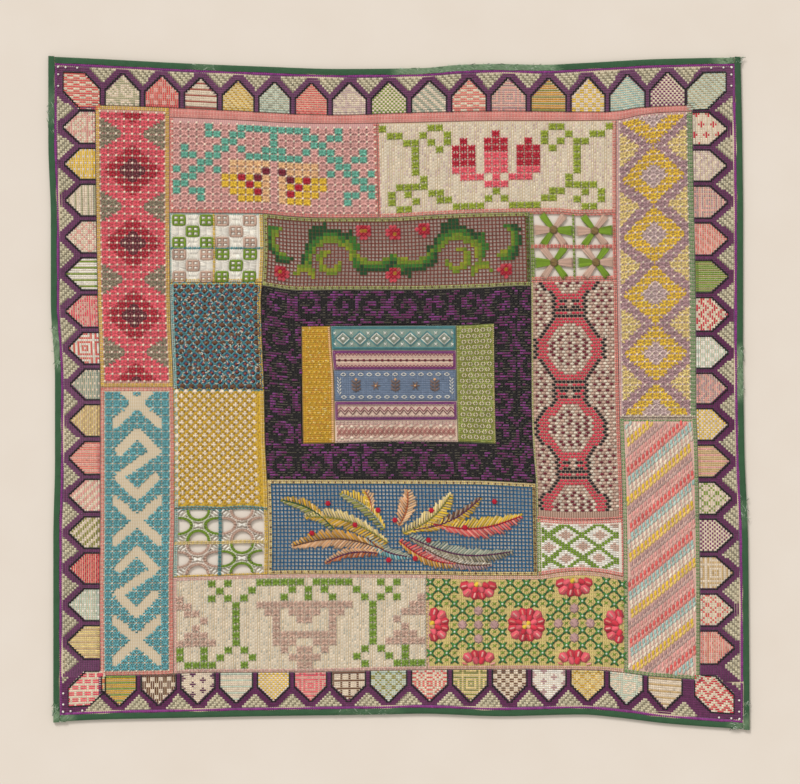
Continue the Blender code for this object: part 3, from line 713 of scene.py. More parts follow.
class Cloth:
    """One cloth between four seams, with its stitches gathered as they are laid."""

    def __init__(self, node):
        *self.sides, self.thick = CLOTHS[node]
        self.node = node
        self.wide = float(place(self.sides, 1, 0.5)[0] - place(self.sides, 0, 0.5)[0])
        self.high = float(place(self.sides, 0.5, 1)[1] - place(self.sides, 0.5, 0)[1])
        self.laid = []
        self.chance = np.random.default_rng(sum(map(ord, node)))

    def spot(self, s, t):
        """The point s from the left seam and t from the top seam."""
        return place(self.sides, s / self.wide, 1 - t / self.high, GAP / 2)

    def rise(self, s, t):
        """How high the cloth lies there."""
        inside = np.minimum(np.minimum(s, self.wide - s), np.minimum(t, self.high - t))
        share = np.clip(inside / SEAM_SHOULDER, 0, 1)
        x, y = self.spot(s, t)
        return self.thick + pucker(x, y) * share - SEAM_DROP * (1 - share)

    def lay(self, kind, s0, t0, s1, t1, wide, high, colour, lift=0.0):
        """Stitches from each first place to each second place."""
        s0, t0, s1, t1 = (np.array(a, float).ravel() for a in np.broadcast_arrays(s0, t0, s1, t1))
        if not len(s0):
            return
        x0, y0 = self.spot(s0, t0)
        x1, y1 = self.spot(s1, t1)
        length = np.maximum(np.hypot(x1 - x0, y1 - y0), 0.01)
        along = np.stack(((x1 - x0) / length, (y1 - y0) / length), axis=-1)
        z = self.rise((s0 + s1) / 2, (t0 + t1) / 2) + lift - SUNK
        centre = np.stack(((x0 + x1) / 2, (y0 + y1) / 2, z), axis=-1)
        count = len(length)
        extent = np.stack(np.broadcast_arrays(length, wide, high), axis=-1) * np.ones((count, 1))
        uneven = bpy.context.scene.sampler_sizes.unevenness
        shade = np.resize(colour, (count, 3))
        shade = np.clip(shade * (1 + uneven * self.chance.standard_normal((count, 1))), 0, 1)
        self.laid.append((kind, centre, along, extent, shade))

    def level(self, s, t, length, wide, high, colour, lift=0.0, kind="roof", turn=0.0):
        """Stitches of one length centred on each place, turned by an angle from level."""
        ds, dt = np.cos(turn) * length / 2, -np.sin(turn) * length / 2
        self.lay(kind, s - ds, t - dt, s + ds, t + dt, wide, high, colour, lift)

    def crosses(self, s, t, across, down, colour, kind="roof", wide=0.34, high=0.5, lift=0.0):
        """A cross of two slanted stitches on each place."""
        a, b = across * 0.53, down * 0.53
        self.lay(kind, s - a, t - b, s + a, t + b, across * wide, high, colour, lift)
        self.lay(kind, s - a, t + b, s + a, t - b, across * wide, high, colour, lift + high * 0.3)

    def dots(self, s, t, across, colour, lift=0.3):
        """A round knot on each place."""
        s, t = np.asarray(s, float), np.asarray(t, float)
        self.level(s, t, across, across, across * 0.8, colour, lift, "bead")

    def row(self, ends, pitch, wide, high, colour, lift=0.0, kind="roof", lap=1.12, slant=0.0):
        """A row of stitches along the straight line between two places."""
        (s0, t0), (s1, t1) = ends
        length = math.hypot(s1 - s0, t1 - t0)
        at = spaced(0, length, pitch) / length
        turn = -math.atan2(t1 - t0, s1 - s0) + slant
        s, t = s0 + (s1 - s0) * at, t0 + (t1 - t0) * at
        self.level(s, t, pitch * lap, wide, high, colour, lift, kind, turn)

    def level_row(self, depth, inset, *stitch, **more):
        """A row across the cloth at a depth."""
        self.row(((inset, depth), (self.wide - inset, depth)), *stitch, **more)

    def upright_row(self, place, inset, *stitch, **more):
        """A row down the cloth at a place."""
        self.row(((place, inset), (place, self.high - inset)), *stitch, **more)

    def path(self, points, pitch, wide, high, colour, lift=0.0):
        """Rows from each point to the next."""
        for ends in zip(points, points[1:]):
            self.row(ends, pitch, wide, high, colour, lift)

    def edging(self, sides, name, rows=2, wide=1.1):
        """Rows of frame stitches inside some of the cloth's sides, given as the letters l r t b."""
        for side in sides:
            for k in range(rows):
                inset = FRAME_INSET + wide * k
                far = {"l": inset, "r": self.wide - inset, "t": inset, "b": self.high - inset}[side]
                lay = self.upright_row if side in "lr" else self.level_row
                slant = FRAME_SLANT if k % 2 else -FRAME_SLANT
                shades = flecked(name, FRAME_PALE)
                lay(far, FRAME_END, FRAME_PITCH, wide * FRAME_SHARE, 0.5, shades, 0.1, lap=1.05, slant=slant)

    def sheet(self, finish, cell=3.5):
        """The ground: flat below, softly uneven above, lower along its seams."""
        columns, rows = max(2, round(self.wide / cell)), max(2, round(self.high / cell))
        bm = bmesh.new()
        bmesh.ops.create_grid(bm, x_segments=columns + 2, y_segments=rows + 2, size=0.5)
        shares = []
        for count, length in ((columns, self.wide), (rows, self.high)):
            shoulder = SEAM_SHOULDER / length
            shares.append(np.concatenate(([0], np.linspace(shoulder, 1 - shoulder, count + 1), [1])))
        for vert in bm.verts:
            i = round((vert.co.x + 0.5) * (columns + 2))
            j = round((vert.co.y + 0.5) * (rows + 2))
            vert.co = (shares[0][i], shares[1][j], 0)
        grown = bmesh.ops.extrude_face_region(bm, geom=bm.faces[:])["geom"]
        raised = [part for part in grown if isinstance(part, bmesh.types.BMVert)]
        bmesh.ops.translate(bm, vec=(0, 0, 1), verts=raised)
        u, v, top = np.array([vert.co for vert in bm.verts]).T
        x, y = place(self.sides, u, v, GAP / 2)
        z = self.rise(u * self.wide, (1 - v) * self.high) * top
        for vert, *spot in zip(bm.verts, x, y, z):
            vert.co = spot
        return solid(f"{self.node}_cloth", bm, finish)

    def done(self, ground, thread_name="wool", cell=3.5):
        stitches = own(joined(f"{self.node}_stitches", self.laid, finish_of(thread_name)), self.node)
        sheet = own(self.sheet(ground, cell), self.node)
        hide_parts(self.node)
        flat = (self.wide * MM, max(self.high, NARROWEST_CUT) * MM)

    def done_open(self, thread_name, net=()):
        """Makes an openwork cloth, which is its threads alone, or its net with what is darned on it."""
        pieces = [own(joined(f"{self.node}_stitches", self.laid, finish_of(thread_name)), self.node)]
        if net:
            pieces.insert(0, own(joined(f"{self.node}_net", net, finish_of(thread_name)), self.node))
        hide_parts(self.node)
        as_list(pieces[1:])


def solid(name, bm, finish):
    """An object of the shape, in metres, with its faces outwards."""
    bmesh.ops.scale(bm, vec=(MM, MM, MM), verts=bm.verts)
    bmesh.ops.recalc_face_normals(bm, faces=bm.faces)
    mesh = bpy.data.meshes.new(name)
    bm.to_mesh(mesh)
    bm.free()
    mesh.shade_smooth()
    mesh.set_sharp_from_angle(angle=math.radians(50))
    flat_map(mesh, np.array([vert.co for vert in mesh.vertices]))
    mesh.materials.append(finish)
    return bpy.data.objects.new(name, mesh)


def off_path(s, t, points):
    """How far each place lies from a bent line."""
    best = np.full(np.shape(s), np.inf)
    for (a, b), (c, d) in zip(points, points[1:]):
        share = np.clip(((s - a) * (c - a) + (t - b) * (d - b)) / ((c - a) ** 2 + (d - b) ** 2), 0, 1)
        best = np.minimum(best, np.hypot(s - a - share * (c - a), t - b - share * (d - b)))
    return best


def star_chart(cloth, chart, edge, threads):
    """Stars on a chart's letters. The edge is the plain margin left, right, top and bottom."""
    left, right, top, bottom = edge
    codes = np.array([["".join(threads).find(letter) for letter in line] for line in chart])
    rows, columns = codes.shape
    across, down = (cloth.wide - left - right) / columns, (cloth.high - top - bottom) / rows
    s, t = raster(left + (np.arange(columns) + 0.5) * across, top + (np.arange(rows) + 0.5) * down)
    for code, name in enumerate(threads.values()):
        at = codes.ravel() == code
        star_ground(cloth, s[at], t[at], across, down, (name,), lambda u, v: np.zeros(u.shape, int), "round")
    return s, t, across, down


def corner_dots(cloth, s, t, across, down, name, width=1.3):
    """Pale dots of bare canvas at the corners of the stars."""
    columns, rows = np.unique(s.round(3)), np.unique(t.round(3))
    at_s = np.append(columns - across / 2, columns[-1] + across / 2)
    at_t = np.append(rows - down / 2, rows[-1] + down / 2)
    cloth.dots(*raster(at_s, at_t), width, tint(name), 0.35)


def star_ground(cloth, s, t, across, down, names, tone, bed="quarters"):
    """Stars of eight arms over a bed of flat stitches, each stitch coloured by where it lies, with painted
    shade on the bed and a painted highlight and shade on the arms.
    """
    shades = tint(*names)
    for ds, dt in ((-0.25, -0.25), (0.25, -0.25), (-0.25, 0.25), (0.25, 0.25)) if bed == "quarters" else ():
        u, v = s + ds * across, t + dt * down
        picked = tone(u, v)
        kept = picked >= 0
        # Painted shade: the bed under the arms is painted darker than its thread.
        cloth.level(u[kept], v[kept], across * 0.55, down * 0.52, 0.4, shades[picked[kept]] * 0.8, -0.1)
    if bed == "round":
        for turn in (0.5, -0.5):
            # Painted shade: the round bed under the arms is painted darker than its thread.
            cloth.level(s, t, across * 1.1, down * 0.72, 0.5, shades[tone(s, t)] * 0.86, -0.05, "grain", turn)
    root, end, middle = 0.12, 0.96, 0.6
    for k in range(8):
        slanted = k % 2
        turn, reach = math.pi * k / 4, LONG_ARM if slanted else SHORT_ARM
        ds, dt = across * reach * math.cos(turn), down * reach * math.sin(turn)
        picked = tone(s + ds * middle, t + dt * middle)
        kept = picked >= 0
        # Painted light: the long slanted arms are painted lighter as a highlight, and the short ones darker
        # as shade.
        painted_light = LONG_ARM_PAINTED_HIGHLIGHT if slanted else SHORT_ARM_PAINTED_SHADE
        u, v = s[kept], t[kept]
        cloth.lay("roof", u + ds * root, v + dt * root, u + ds * end, v + dt * end,
                  across * ARM_WIDTH, ARM_HEIGHT, shades[picked[kept]] * painted_light, 0.1 + 0.15 * slanted)


def flecked(name, share=0.4):
    """A thread and the same with the pale canvas between its stitches."""
    return np.concatenate((tint(name), tint(name) * (1 - share) + tint("cream") * share))


def bundle(cloth, s, t, across, down, upright):
    """White threads gathered at the middle of their square."""
    for lane in np.linspace(-0.45, 0.45, 6):
        pinch = lane * 0.45
        if upright:
            far, near = lane * across, pinch * across
            places = ((s + far, t - down / 2), (s + near, t), (s + far, t + down / 2))
        else:
            far, near = lane * down, pinch * down
            places = ((s - across / 2, t + far), (s, t + near), (s + across / 2, t + far))
        for (a, b), (c, d) in zip(places, places[1:]):
            cloth.lay("roof", a, b, c, d, 0.95, 0.6, tint("white"))


def feather(cloth, root, tip, half, names):
    """A bent rib with slanted barbs in two colours, darned over the bars of the net."""
    (a, b), (c, d) = root, tip
    length = math.hypot(c - a, d - b)
    ahead_s, ahead_t = (c - a) / length, (d - b) / length
    share = spaced(0, 1, 1.75 / length)
    bow = 0.1 * length * np.sin(share * math.pi)
    s, t = a + (c - a) * share - ahead_t * bow, b + (d - b) * share + ahead_s * bow
    wide = half * np.sin(np.clip(share * 0.9 + 0.08, 0, 1) * math.pi) ** 0.6
    ahead, aside = 0.75, 0.85
    for side, name in ((-1, names[0]), (1, names[1])):
        reach = wide * cloth.chance.uniform(0.75, 1.15, len(s))
        end_s = s + (ahead_s * ahead - ahead_t * side * aside) * reach
        end_t = t + (ahead_t * ahead + ahead_s * side * aside) * reach
        shades = np.resize(flecked(name, 0.3), (len(s), 3)) * cloth.chance.uniform(0.7, 1.1, (len(s), 1))
        cloth.lay("roof", s, t, end_s, end_t, 1.45, 0.5, shades, 0.1)
    cloth.lay("roof", s[:-1], t[:-1], s[1:], t[1:], 0.9, 0.7, tint(names[2]), 0.25)


def zigzag(cloth, depth, half, reach, wide, colour, lift=0.25):
    """A zigzag row along the cloth: its middle depth, half its height and the reach of one slope."""
    count = round((cloth.wide - 2.4) / reach)
    s = np.linspace(1.2, cloth.wide - 1.2, count + 1)
    t = depth + half * (-1.0) ** np.arange(count + 1)
    cloth.lay("roof", s[:-1], t[:-1], s[1:], t[1:], wide, 0.6, colour, lift)


def outline(cloth, name):
    """A silk row all round a band."""
    for low in (0.6, 1.4):
        wide, high = cloth.wide - low, cloth.high - low
        corners = ((low, low), (wide, low), (wide, high), (low, high), (low, low))
        cloth.path(corners, 1.4, 0.8, 0.6, tint(name), 0.1)


def flower(cloth, s, t):
    """Red and pink petals in two rings round a yellow heart, where they lie inside the cloth."""
    for count, reach, length, wide, names, lift in ROSETTE_RINGS:
        for k in range(count):
            turn = 2 * math.pi * (k + 0.5) / count
            far = reach * (1.1 if count == 12 and k % 3 == 1 else 1.0)
            u, v = s + far * math.cos(turn), t - far * math.sin(turn) * 0.88
            kept = (u > 2.4) & (u < cloth.wide - 2.4) & (v > 3.4) & (v < cloth.high - 3.4)
            cloth.level(u[kept], v[kept], length, wide, 0.8, tint(names[k % len(names)]), lift, "grain", turn)


def rose_medallions():
    cloth = Cloth("panel_rose_medallions")
    rows, period, first_neck, edge = 37, 10, 3, 3.4
    widening, tones = 1.35, (1.8, 3.6)
    across, down = size("star_pitch"), (cloth.high - 2 * edge) / rows
    column, row = raster(np.arange(8) - 3.5, np.arange(rows) + 0.5)

    def tone(u, v):
        x, y = np.abs(u - cloth.wide / 2) / across, (v - edge) / down
        middle = np.rint((y - first_neck + period / 2) / period) * period + first_neck - period / 2
        from_middle = np.abs(y - middle)
        inside = x < 1 + widening * (period / 2 - from_middle)
        return np.where(inside, np.digitize(x + from_middle, tones), 3)

    s, t = cloth.wide / 2 + column * across, edge + row * down
    star_ground(cloth, s, t, across, down, ("maroon", "crimson", "rose", "taupe"), tone)
    corner_dots(cloth, s, t, across, down, "cream", 1.7)
    cloth.edging("lrtb", "gold")
    cloth.done(cloth_finish("rose_ground", "pink", "taupe", 1.2, 1.2, 0.5))


def teal_key():
    cloth = Cloth("panel_teal_key")
    edge, columns, rows = 2.5, 8, 35
    across, down = (cloth.wide - 2 * edge) / columns, (cloth.high - 2 * edge) / rows
    crosses_at, keys_at, half_band, reach = (9.3, 80.1, 151.9), (44.4, 115.1), 3.0, 14.8
    rising, falling = ((-13.2, 12.2), (13.2, -12.2)), ((-13.2, -12.2), (13.2, 12.2))
    key = ((-11.0, -6.5), (0, -17.2), (11.2, -6), (-11.2, 9), (0, 20.2), (11, 9.5))

    def tone(u, v):
        x = u - cloth.wide / 2
        band = np.full(x.shape, np.inf)
        for places, lines in ((crosses_at, (rising, falling)), (keys_at, (key,))):
            for middle in places:
                for line in lines:
                    band = np.minimum(band, off_path(x, v - middle, line))
        return np.where((band < half_band) & (np.abs(x) < reach), -1, 0)

    pitch = 1.6
    s, t = raster(spaced(edge, cloth.wide - edge, pitch), spaced(edge, cloth.high - edge, pitch))
    bed = tone(s, t) == 0
    # Painted shade: the teal bed under the stars and rings is painted darker than the teal of the rings.
    cloth.level(s[bed], t[bed], pitch * 1.15, pitch, 0.4, tint("teal") * 0.92, -0.05)
    s, t = raster(edge + (np.arange(columns) + 0.5) * across, edge + (np.arange(rows) + 0.5) * down)
    star_ground(cloth, s, t, across, down, ("pale_teal",), tone, "none")
    ring = 1.7
    for turn in np.arange(8) * math.pi / 4:
        u, v = s + ring * math.cos(turn), t - ring * math.sin(turn)
        kept = tone(u, v) == 0
        cloth.level(u[kept], v[kept], 1.7, 0.7, 0.6, tint("teal"), 0.3, "roof", turn + math.pi / 2)
    at_s, at_t = raster(edge + np.arange(columns + 1) * across, edge + np.arange(rows + 1) * down)
    kept = tone(at_s, at_t) == 0
    cloth.dots(at_s[kept], at_t[kept], 1.2, tint("cream"), 0.4)
    cloth.edging("lrtb", "salmon")
    cloth.done(cloth_finish("key_ground", "ecru", "tan", 1.1, 1.9, 0.4))


def coral_tape():
    cloth = Cloth("coral_tape")
    rows = (("salmon", 0.55), ("pink", 1.6), ("salmon", 2.65), ("pink", 3.7), ("pink", 4.75))
    woven_height = 5.3
    for name, depth in rows:
        t = depth / woven_height * cloth.high
        cloth.level_row(t, 0.3, 0.95, 0.6, 0.5, flecked(name), slant=math.pi / 2.2, lap=1.1)
    cloth.done(cloth_finish("tape_ground", "pink", "salmon", 0.9, 1.1, 0.5), "silk", 3.0)


def pink_garland():
    cloth = Cloth("panel_garland_pink")
    threads = {"m": "mint", "a": "apricot", "y": "yellow", "w": "wine", "c": "crimson", ".": "dusty_pink"}
    s, t, across, down = star_chart(cloth, PINK_GARLAND, (1.8, 1.2, 2.4, 2.4), threads)
    corner_dots(cloth, s, t, across, down, "cream", 1.6)
    cloth.edging("lbr", "salmon")
    cloth.done(cloth_finish("pink_ground", "dusty_pink", "mauve", 1.2, 1.2, 0.5))


def upright_ground(cloth, names, pitch):
    """Fine upright stitches in close columns over the whole ground."""
    s, t = raster(spaced(0.6, cloth.wide - 0.6, pitch), spaced(0.6, cloth.high - 0.6, pitch * 1.25))
    t = t + (np.rint(s / pitch) % 2) * pitch * 0.5
    tone = cloth.chance.integers(0, len(names), len(s))
    cloth.level(s, t, pitch * 1.15, pitch * 0.7, 0.35, tint(*names)[tone], 0.0, turn=math.pi / 2 - 0.2)


def linen_buds():
    cloth = Cloth("panel_buds_linen")
    threads = {"g": "lime", "c": "crimson", "p": "rose"}
    upright_ground(cloth, ("ecru", "ecru", "cream", "lavender"), 1.6)
    star_chart(cloth, LINEN_BUDS, (0.6, 1.6, 1.2, 2.0), threads)
    cloth.edging("rb", "salmon")
    cloth.edging("l", "salmon", 1)
    cloth.done(cloth_finish("linen_ground", "ecru", "tan", 1.3, 1.8, 0.4))


def beige_garland():
    cloth = Cloth("panel_garland_beige")
    threads = {"g": "leaf", "b": "fawn"}
    upright_ground(cloth, ("ecru", "cream", "ecru", "pale_grey"), 1.6)
    star_chart(cloth, BEIGE_GARLAND, (1.4, 1.0, 2.2, 2.2), threads)
    cloth.edging("lbt", "dusty_pink", 2, 0.9)
    cloth.done(cloth_finish("beige_ground", "ecru", "tan", 1.3, 1.8, 0.4))


def yellow_lattice():
    cloth = Cloth("panel_yellow_lattice")
    half_wide, half_high, period, first, middle = 19.8, 18.0, 35.6, 37.2, 22.6
    across, rows, edge, stripe_place, tones = 4.6, 39, 1.2, 20.6, (0.45, 0.98, 1.4)
    down = (cloth.high - 2 * edge) / rows

    def tone(u, v):
        x = np.abs(u - middle)
        from_middle = (v - first + period / 2) % period - period / 2
        reach = x / half_wide + np.abs(from_middle) / half_high
        return np.where(x > stripe_place, 0, np.digitize(reach, tones))

    s, t = raster(middle + (np.arange(9) - 4) * across, edge + (np.arange(rows) + 0.5) * down)
    star_ground(cloth, s, t, across, down, ("lavender", "yellow", "mauve", "straw"), tone)
    corner_dots(cloth, s, t, across, down, "cream", 1.6)
    cloth.edging("r", "frame_green", 3)
    cloth.edging("lt", "dusty_pink", 1)
    cloth.edging("b", "cream", 1)
    cloth.done(cloth_finish("lattice_ground", "lavender", "mauve", 1.2, 1.2, 0.5))


def slant_stripes():
    cloth = Cloth("panel_slant_stripes")
    period, gold_middle, lean, step, edge = 34.8, 19.5, 0.87, 3.1, 2.9
    names = ("yellow", "dull_mauve", "pink", "coral", "aqua", "cream")
    turn = math.atan(lean)
    across = period * math.cos(turn) / 12
    u, v = raster(spaced(-cloth.high, cloth.wide, step), np.arange(0, 75) * across)
    u = u + (np.rint(v / across) % 2) * step / 2
    s, t = u * math.cos(turn) + v * math.sin(turn), -u * math.sin(turn) + v * math.cos(turn)
    inside = (s > edge) & (s < cloth.wide - edge) & (t > edge) & (t < cloth.high - edge)
    s, t, v = s[inside], t[inside], v[inside]
    share = ((t + lean * s - gold_middle) / period + 1 / 12) % 1 * 6
    shades = tint(*names)[share.astype(int)]
    pale = share % 1 > 0.5
    shades[pale] = shades[pale] * 0.8 + tint("cream") * 0.2
    cloth.level(s, t, 4.0, 1.7, 0.9, shades, kind="grain", turn=turn + np.where(pale, 0.5, 0.75))
    cloth.edging("lrtb", "frame_green")
    cloth.edging("t", "cream", 1)
    cloth.done(cloth_finish("stripe_ground", "peach_pink", "lavender", 1.2, 1.2, 0.5))


def rosettes():
    """Half-dropped flowers in a green lattice, counted on one grid."""
    cloth = Cloth("panel_rosettes")
    across, down, centre_s, centre_t = 4.8, 4.2, 30.6, 29.4
    column, row = raster(np.arange(-8, 22), np.arange(-9, 10))
    s, t = centre_s + column * across, centre_t + row * down
    inside = (s > 0.8) & (s < cloth.wide - 0.8) & (t > 2.2) & (t < cloth.high - 2.2)
    column, row, s, t = column[inside], row[inside], s[inside], t[inside]
    near = []
    for a, b in ((6, 0), (0, 6)):
        x, y = np.abs((column - a + 6) % 12 - 6), np.abs((row - b + 6) % 12 - 6)
        near.append(np.hypot(x, y))
    near = np.min(near, axis=0)
    x, y = np.abs((column + 6) % 12 - 6), np.abs((row + 6) % 12 - 6)
    even = (column + row) % 2 == 0
    rest = near > 2.6
    mauve = even & rest & (((x == 0) & (y == 2)) | ((y == 0) & (x == 2)) | ((x + y == 8) & (x * y == 12)))
    mauve |= even & rest & (x == 0) & (y == 0)
    for ds in (-0.25, 0.25):
        for dt in (-0.25, 0.25):
            cloth.level(s + ds * across, t + dt * down, across * 0.56, down * 0.52, 0.35, tint("sand"), -0.1)
    for a, b in ((6, 0), (0, 6)):
        at_column, at_row = raster(np.arange(-24 + a, 25, 12), np.arange(-24 + b, 25, 12))
        flower(cloth, centre_s + at_column * across, centre_t + at_row * down)
    for k in range(4):
        turn = math.pi * k / 4
        cloth.level(s[mauve], t[mauve], 6.2, 3.0, 0.55, tint("dull_mauve"), 0.06 * k, "grain", turn)
    crossing = rest & even & ~mauve & (near > 2.9)
    for sign in (-1, 1):
        cloth.level(s[crossing], t[crossing], 7.2, 1.6, 0.8, tint("green"), 0.2, "grain", sign * 0.72)
        for k in (-1, 1):
            leaf_s, leaf_t = s[crossing] + k * 1.5, t[crossing] + sign * 1.3
            cloth.level(leaf_s, leaf_t, 3.0, 1.1, 0.7, tint("deep_green"), 0.3, "grain", -sign * k * 0.72)
    gaps = rest & ~even
    cloth.crosses(s[gaps], t[gaps], across * 0.55, down * 0.55, tint("leaf"), "grain", 0.24, 0.5)
    cloth.dots(s[crossing], t[crossing], 1.5, tint("pale_mint"), 0.7)
    cloth.edging("tb", "dusty_pink")
    cloth.edging("l", "dusty_pink", 1)
    cloth.done(cloth_finish("rosette_ground", "straw", "olive", 1.3, 1.3, 0.5), "silk")


def drawn_blocks():
    """White linen with four blocks of bundled threads and coloured open squares."""
    cloth = Cloth("panel_drawn_blocks")
    blocks = ((1.4, 0.8, "leaf"), (27.6, 0.8, "fawn"), (1.4, 21.4, "fawn"), (27.6, 21.4, "leaf"))
    across, down = 8.35, 6.75
    holes = raster(np.array((-0.2, 0.2)), np.array((-0.2, 0.2)))
    for left, top, name in blocks:
        for i in range(3):
            for j in range(3):
                s, t = left + (i + 0.5) * across, top + (j + 0.5) * down
                if (i + j) % 2:
                    bundle(cloth, s, t, across, down, j != 1)
                    continue
                for k in (-0.42, 0, 0.42):
                    bar, post, half, tall = t + k * down, s + k * across, across * 0.5, down * 0.52
                    cloth.lay("grain", s - half, bar, s + half, bar, 1.3, 0.9, tint(name), 0.1)
                    cloth.lay("grain", post, t - tall, post, t + tall, 1.4, 0.9, tint(name) * 0.92, 0.2)
                cloth.dots(s + holes[0] * across, t + holes[1] * down, 1.5, tint("white"), 0.2)
    cloth.upright_row(26.8, 0.4, 1.4, 1.2, 0.7, flecked("gold"), 0.2, slant=0.5)
    cloth.level_row(21.0, 0.4, 1.4, 1.2, 0.7, flecked("teal", 0.2), 0.2, slant=0.5)
    cloth.edging("rb", "gold")
    cloth.edging("lt", "aqua", 1)
    cloth.done(cloth_finish("drawn_ground", "white", "ecru", 1.5, 1.5, 0.3), "linen")


def wheels():
    """Spoked wheels: threads drawn from a hub to the edges of its square, with open gaps between them."""
    cloth = Cloth("panel_wheels")
    hubs = ((14.2, 10.4), (38.9, 10.4), (14.0, 29.6), (39.4, 29.6))
    side, half_high = (12.6, 11.8), 9.6
    for index, (s, t) in enumerate(hubs):
        flip = index < 2
        for k, (ds, dt, far) in enumerate((
                (side[index % 2], 0, 3.0), (7.2, -half_high, 1.9), (-7.2, -half_high, 1.9),
                (-side[index % 2], 0, 3.0), (-7.2, half_high, 1.9), (7.2, half_high, 1.9))):
            colour = tint("leaf" if (k + flip) % 2 else "fawn")
            length = math.hypot(ds, dt)
            across, down = -dt / length, ds / length
            for lane in np.linspace(-1, 1, 8):
                first, last = lane * 0.9, lane * far
                cloth.lay("grain", s + across * first, t + down * first, s + ds * 1.02 + across * last,
                          t + dt * 1.02 + down * last, 0.95, 0.8, colour, 0.1)
    spokes, cloth.laid = cloth.laid, []
    for s, t in hubs:
        for k in range(8):
            cloth.level(s, t, 5.6, 1.6, 0.9, tint("hub_brown"), 0.5 + 0.06 * k, "grain", math.pi * k / 8)
    middle, split = 26.2, 20.0
    cloth.upright_row(middle, 0.4, 1.3, 1.3, 0.8, flecked("leaf"), 0.1, slant=0.5)
    for k in (-0.5, 0.5):
        cloth.level_row(split + k, 0.4, 1.2, 1.1, 0.8, flecked("salmon"), 0.2, slant=1.1)
    cloth.edging("l", "leaf", 2)
    cloth.edging("rb", "salmon", 2)
    cloth.edging("t", "salmon", 1)
    cloth.done_open("linen", spokes)


def half_ovals(s, t, a, b, side, scale):
    """A level and an upright half oval, each rooted on one side of the block round a place."""
    level, upright = [], []
    for k in range(9):
        turn = math.pi * k / 8
        along, inward = 0.5 * scale * math.cos(turn), 1 - 0.62 * scale * math.sin(turn)
        level.append((s + a * along, t + side * b * inward))
        upright.append((s + side * a * inward, t + b * along))
    return level, upright


def arch_openwork():
    """Four blocks, each with four half-oval gaps bound by curved bars round a white cross."""
    cloth = Cloth("panel_arch_openwork")
    blocks = ((2.3, 26.7, 1.2, 19.4, "leaf"), (28.8, 53.2, 1.2, 19.4, "fawn"),
              (2.3, 26.7, 21.5, 39.0, "fawn"), (28.8, 53.2, 21.5, 39.0, "leaf"))
    for left, right, top, bottom, name in blocks:
        s, t = (left + right) / 2, (top + bottom) / 2
        a, b = (right - left) / 2, (bottom - top) / 2
        for sign in (-1, 1):
            for scale, colour, wide in ((1.02, tint(name), 1.2), (1.13, tint(name) * 0.9, 1.2),
                                        (1.25, tint(name) * 0.35 + tint("white") * 0.65, 1.0)):
                for points in half_ovals(s, t, a, b, sign, scale):
                    cloth.path(points, 1.5, wide, 0.9, colour, 0.15)
            for corner in (-1, 1):
                for inset in (0.7, 0.84, 0.97):
                    u, v, turn = s + sign * a * inset, t + corner * b * inset, sign * corner * 0.65
                    cloth.level(u, v, 4.2 * inset, 1.1, 0.5, tint("white"), -0.1, "grain", turn)
        for turn in (0.45, -0.45, 0.2, -0.2):
            cloth.level(s, t, 6.4, 0.8, 0.7, tint("white"), 0.3, "grain", turn)
    for k in (-0.5, 0.5):
        cloth.upright_row(27.7 + k, 0.4, 1.3, 1.0, 0.8, flecked("teal", 0.2), 0.2, slant=0.5)
        cloth.level_row(20.4 + k, 0.4, 1.3, 1.0, 0.8, flecked("straw"), 0.2, slant=0.5)
    cloth.edging("t", "teal", 1)
    cloth.edging("b", "gold", 1)
    cloth.edging("l", "aqua", 2)
    cloth.edging("r", "gold", 2)
    cloth.done_open("linen")


def diamond_openwork():
    """White drawn ground with a green lattice round small fawn diamonds."""
    cloth = Cloth("panel_diamond_openwork")
    half_wide, half_high, first_s, first_t = 10.1, 6.8, 7.0, 15.8
    s, t = raster(spaced(2.6, cloth.wide - 2.6, 1.7), spaced(2.6, cloth.high - 2.6, 1.15))
    x, y = (s - first_s) / half_wide, (t - first_t) / half_high
    reach = np.full(s.shape, np.inf)
    for shift in (0, 1):
        a, b = (x - shift + 1) % 2 - 1, (y - shift + 1) % 2 - 1
        reach = np.minimum(reach, np.abs(a) + np.abs(b))
    tone = np.digitize(reach, (0.42, 0.8))
    tone[(tone == 2) & (np.abs(t - cloth.high / 2) > 13)] = 1
    cloth.level(s, t, 2.0, 1.2, 0.7, tint("fawn", "white", "leaf")[tone], 0.1 * (tone == 2), "grain")
    cloth.edging("tb", "salmon")
    cloth.edging("l", "leaf")
    cloth.edging("r", "salmon", 1)
    cloth.done(cloth_finish("diamond_ground", "white", "cream", 1.5, 1.5, 0.3), "linen")


def net(cloth, pitch, name, width, edge, free=None, knots=True):
    """Knotted square mesh, where it is free to lie. Returns the middles of its cells."""
    columns, rows = round((cloth.wide - 2 * edge) / pitch), round((cloth.high - 2 * edge) / pitch)
    at_s = edge + np.arange(columns + 1) * (cloth.wide - 2 * edge) / columns
    at_t = edge + np.arange(rows + 1) * (cloth.high - 2 * edge) / rows
    free = free or (lambda s, t: np.ones(s.shape, bool))
    s, t = raster(at_s[:-1], at_t)
    keep = free(s + pitch / 2, t)
    cloth.lay("roof", s[keep], t[keep], s[keep] + at_s[1] - at_s[0], t[keep], width, 0.5, tint(name), -0.3)
    s, t = raster(at_s, at_t[:-1])
    keep = free(s, t + pitch / 2)
    cloth.lay("roof", s[keep], t[keep], s[keep], t[keep] + at_t[1] - at_t[0], width, 0.5, tint(name), -0.25)
    s, t = raster(at_s, at_t)
    keep = free(s, t) & knots
    cloth.level(s[keep], t[keep], width * 1.7, width * 1.5, 0.55, tint(name) * 0.85, -0.2, turn=0.6)
    s, t = raster((at_s[:-1] + at_s[1:]) / 2, (at_t[:-1] + at_t[1:]) / 2)
    keep = free(s, t)
    return s[keep], t[keep]


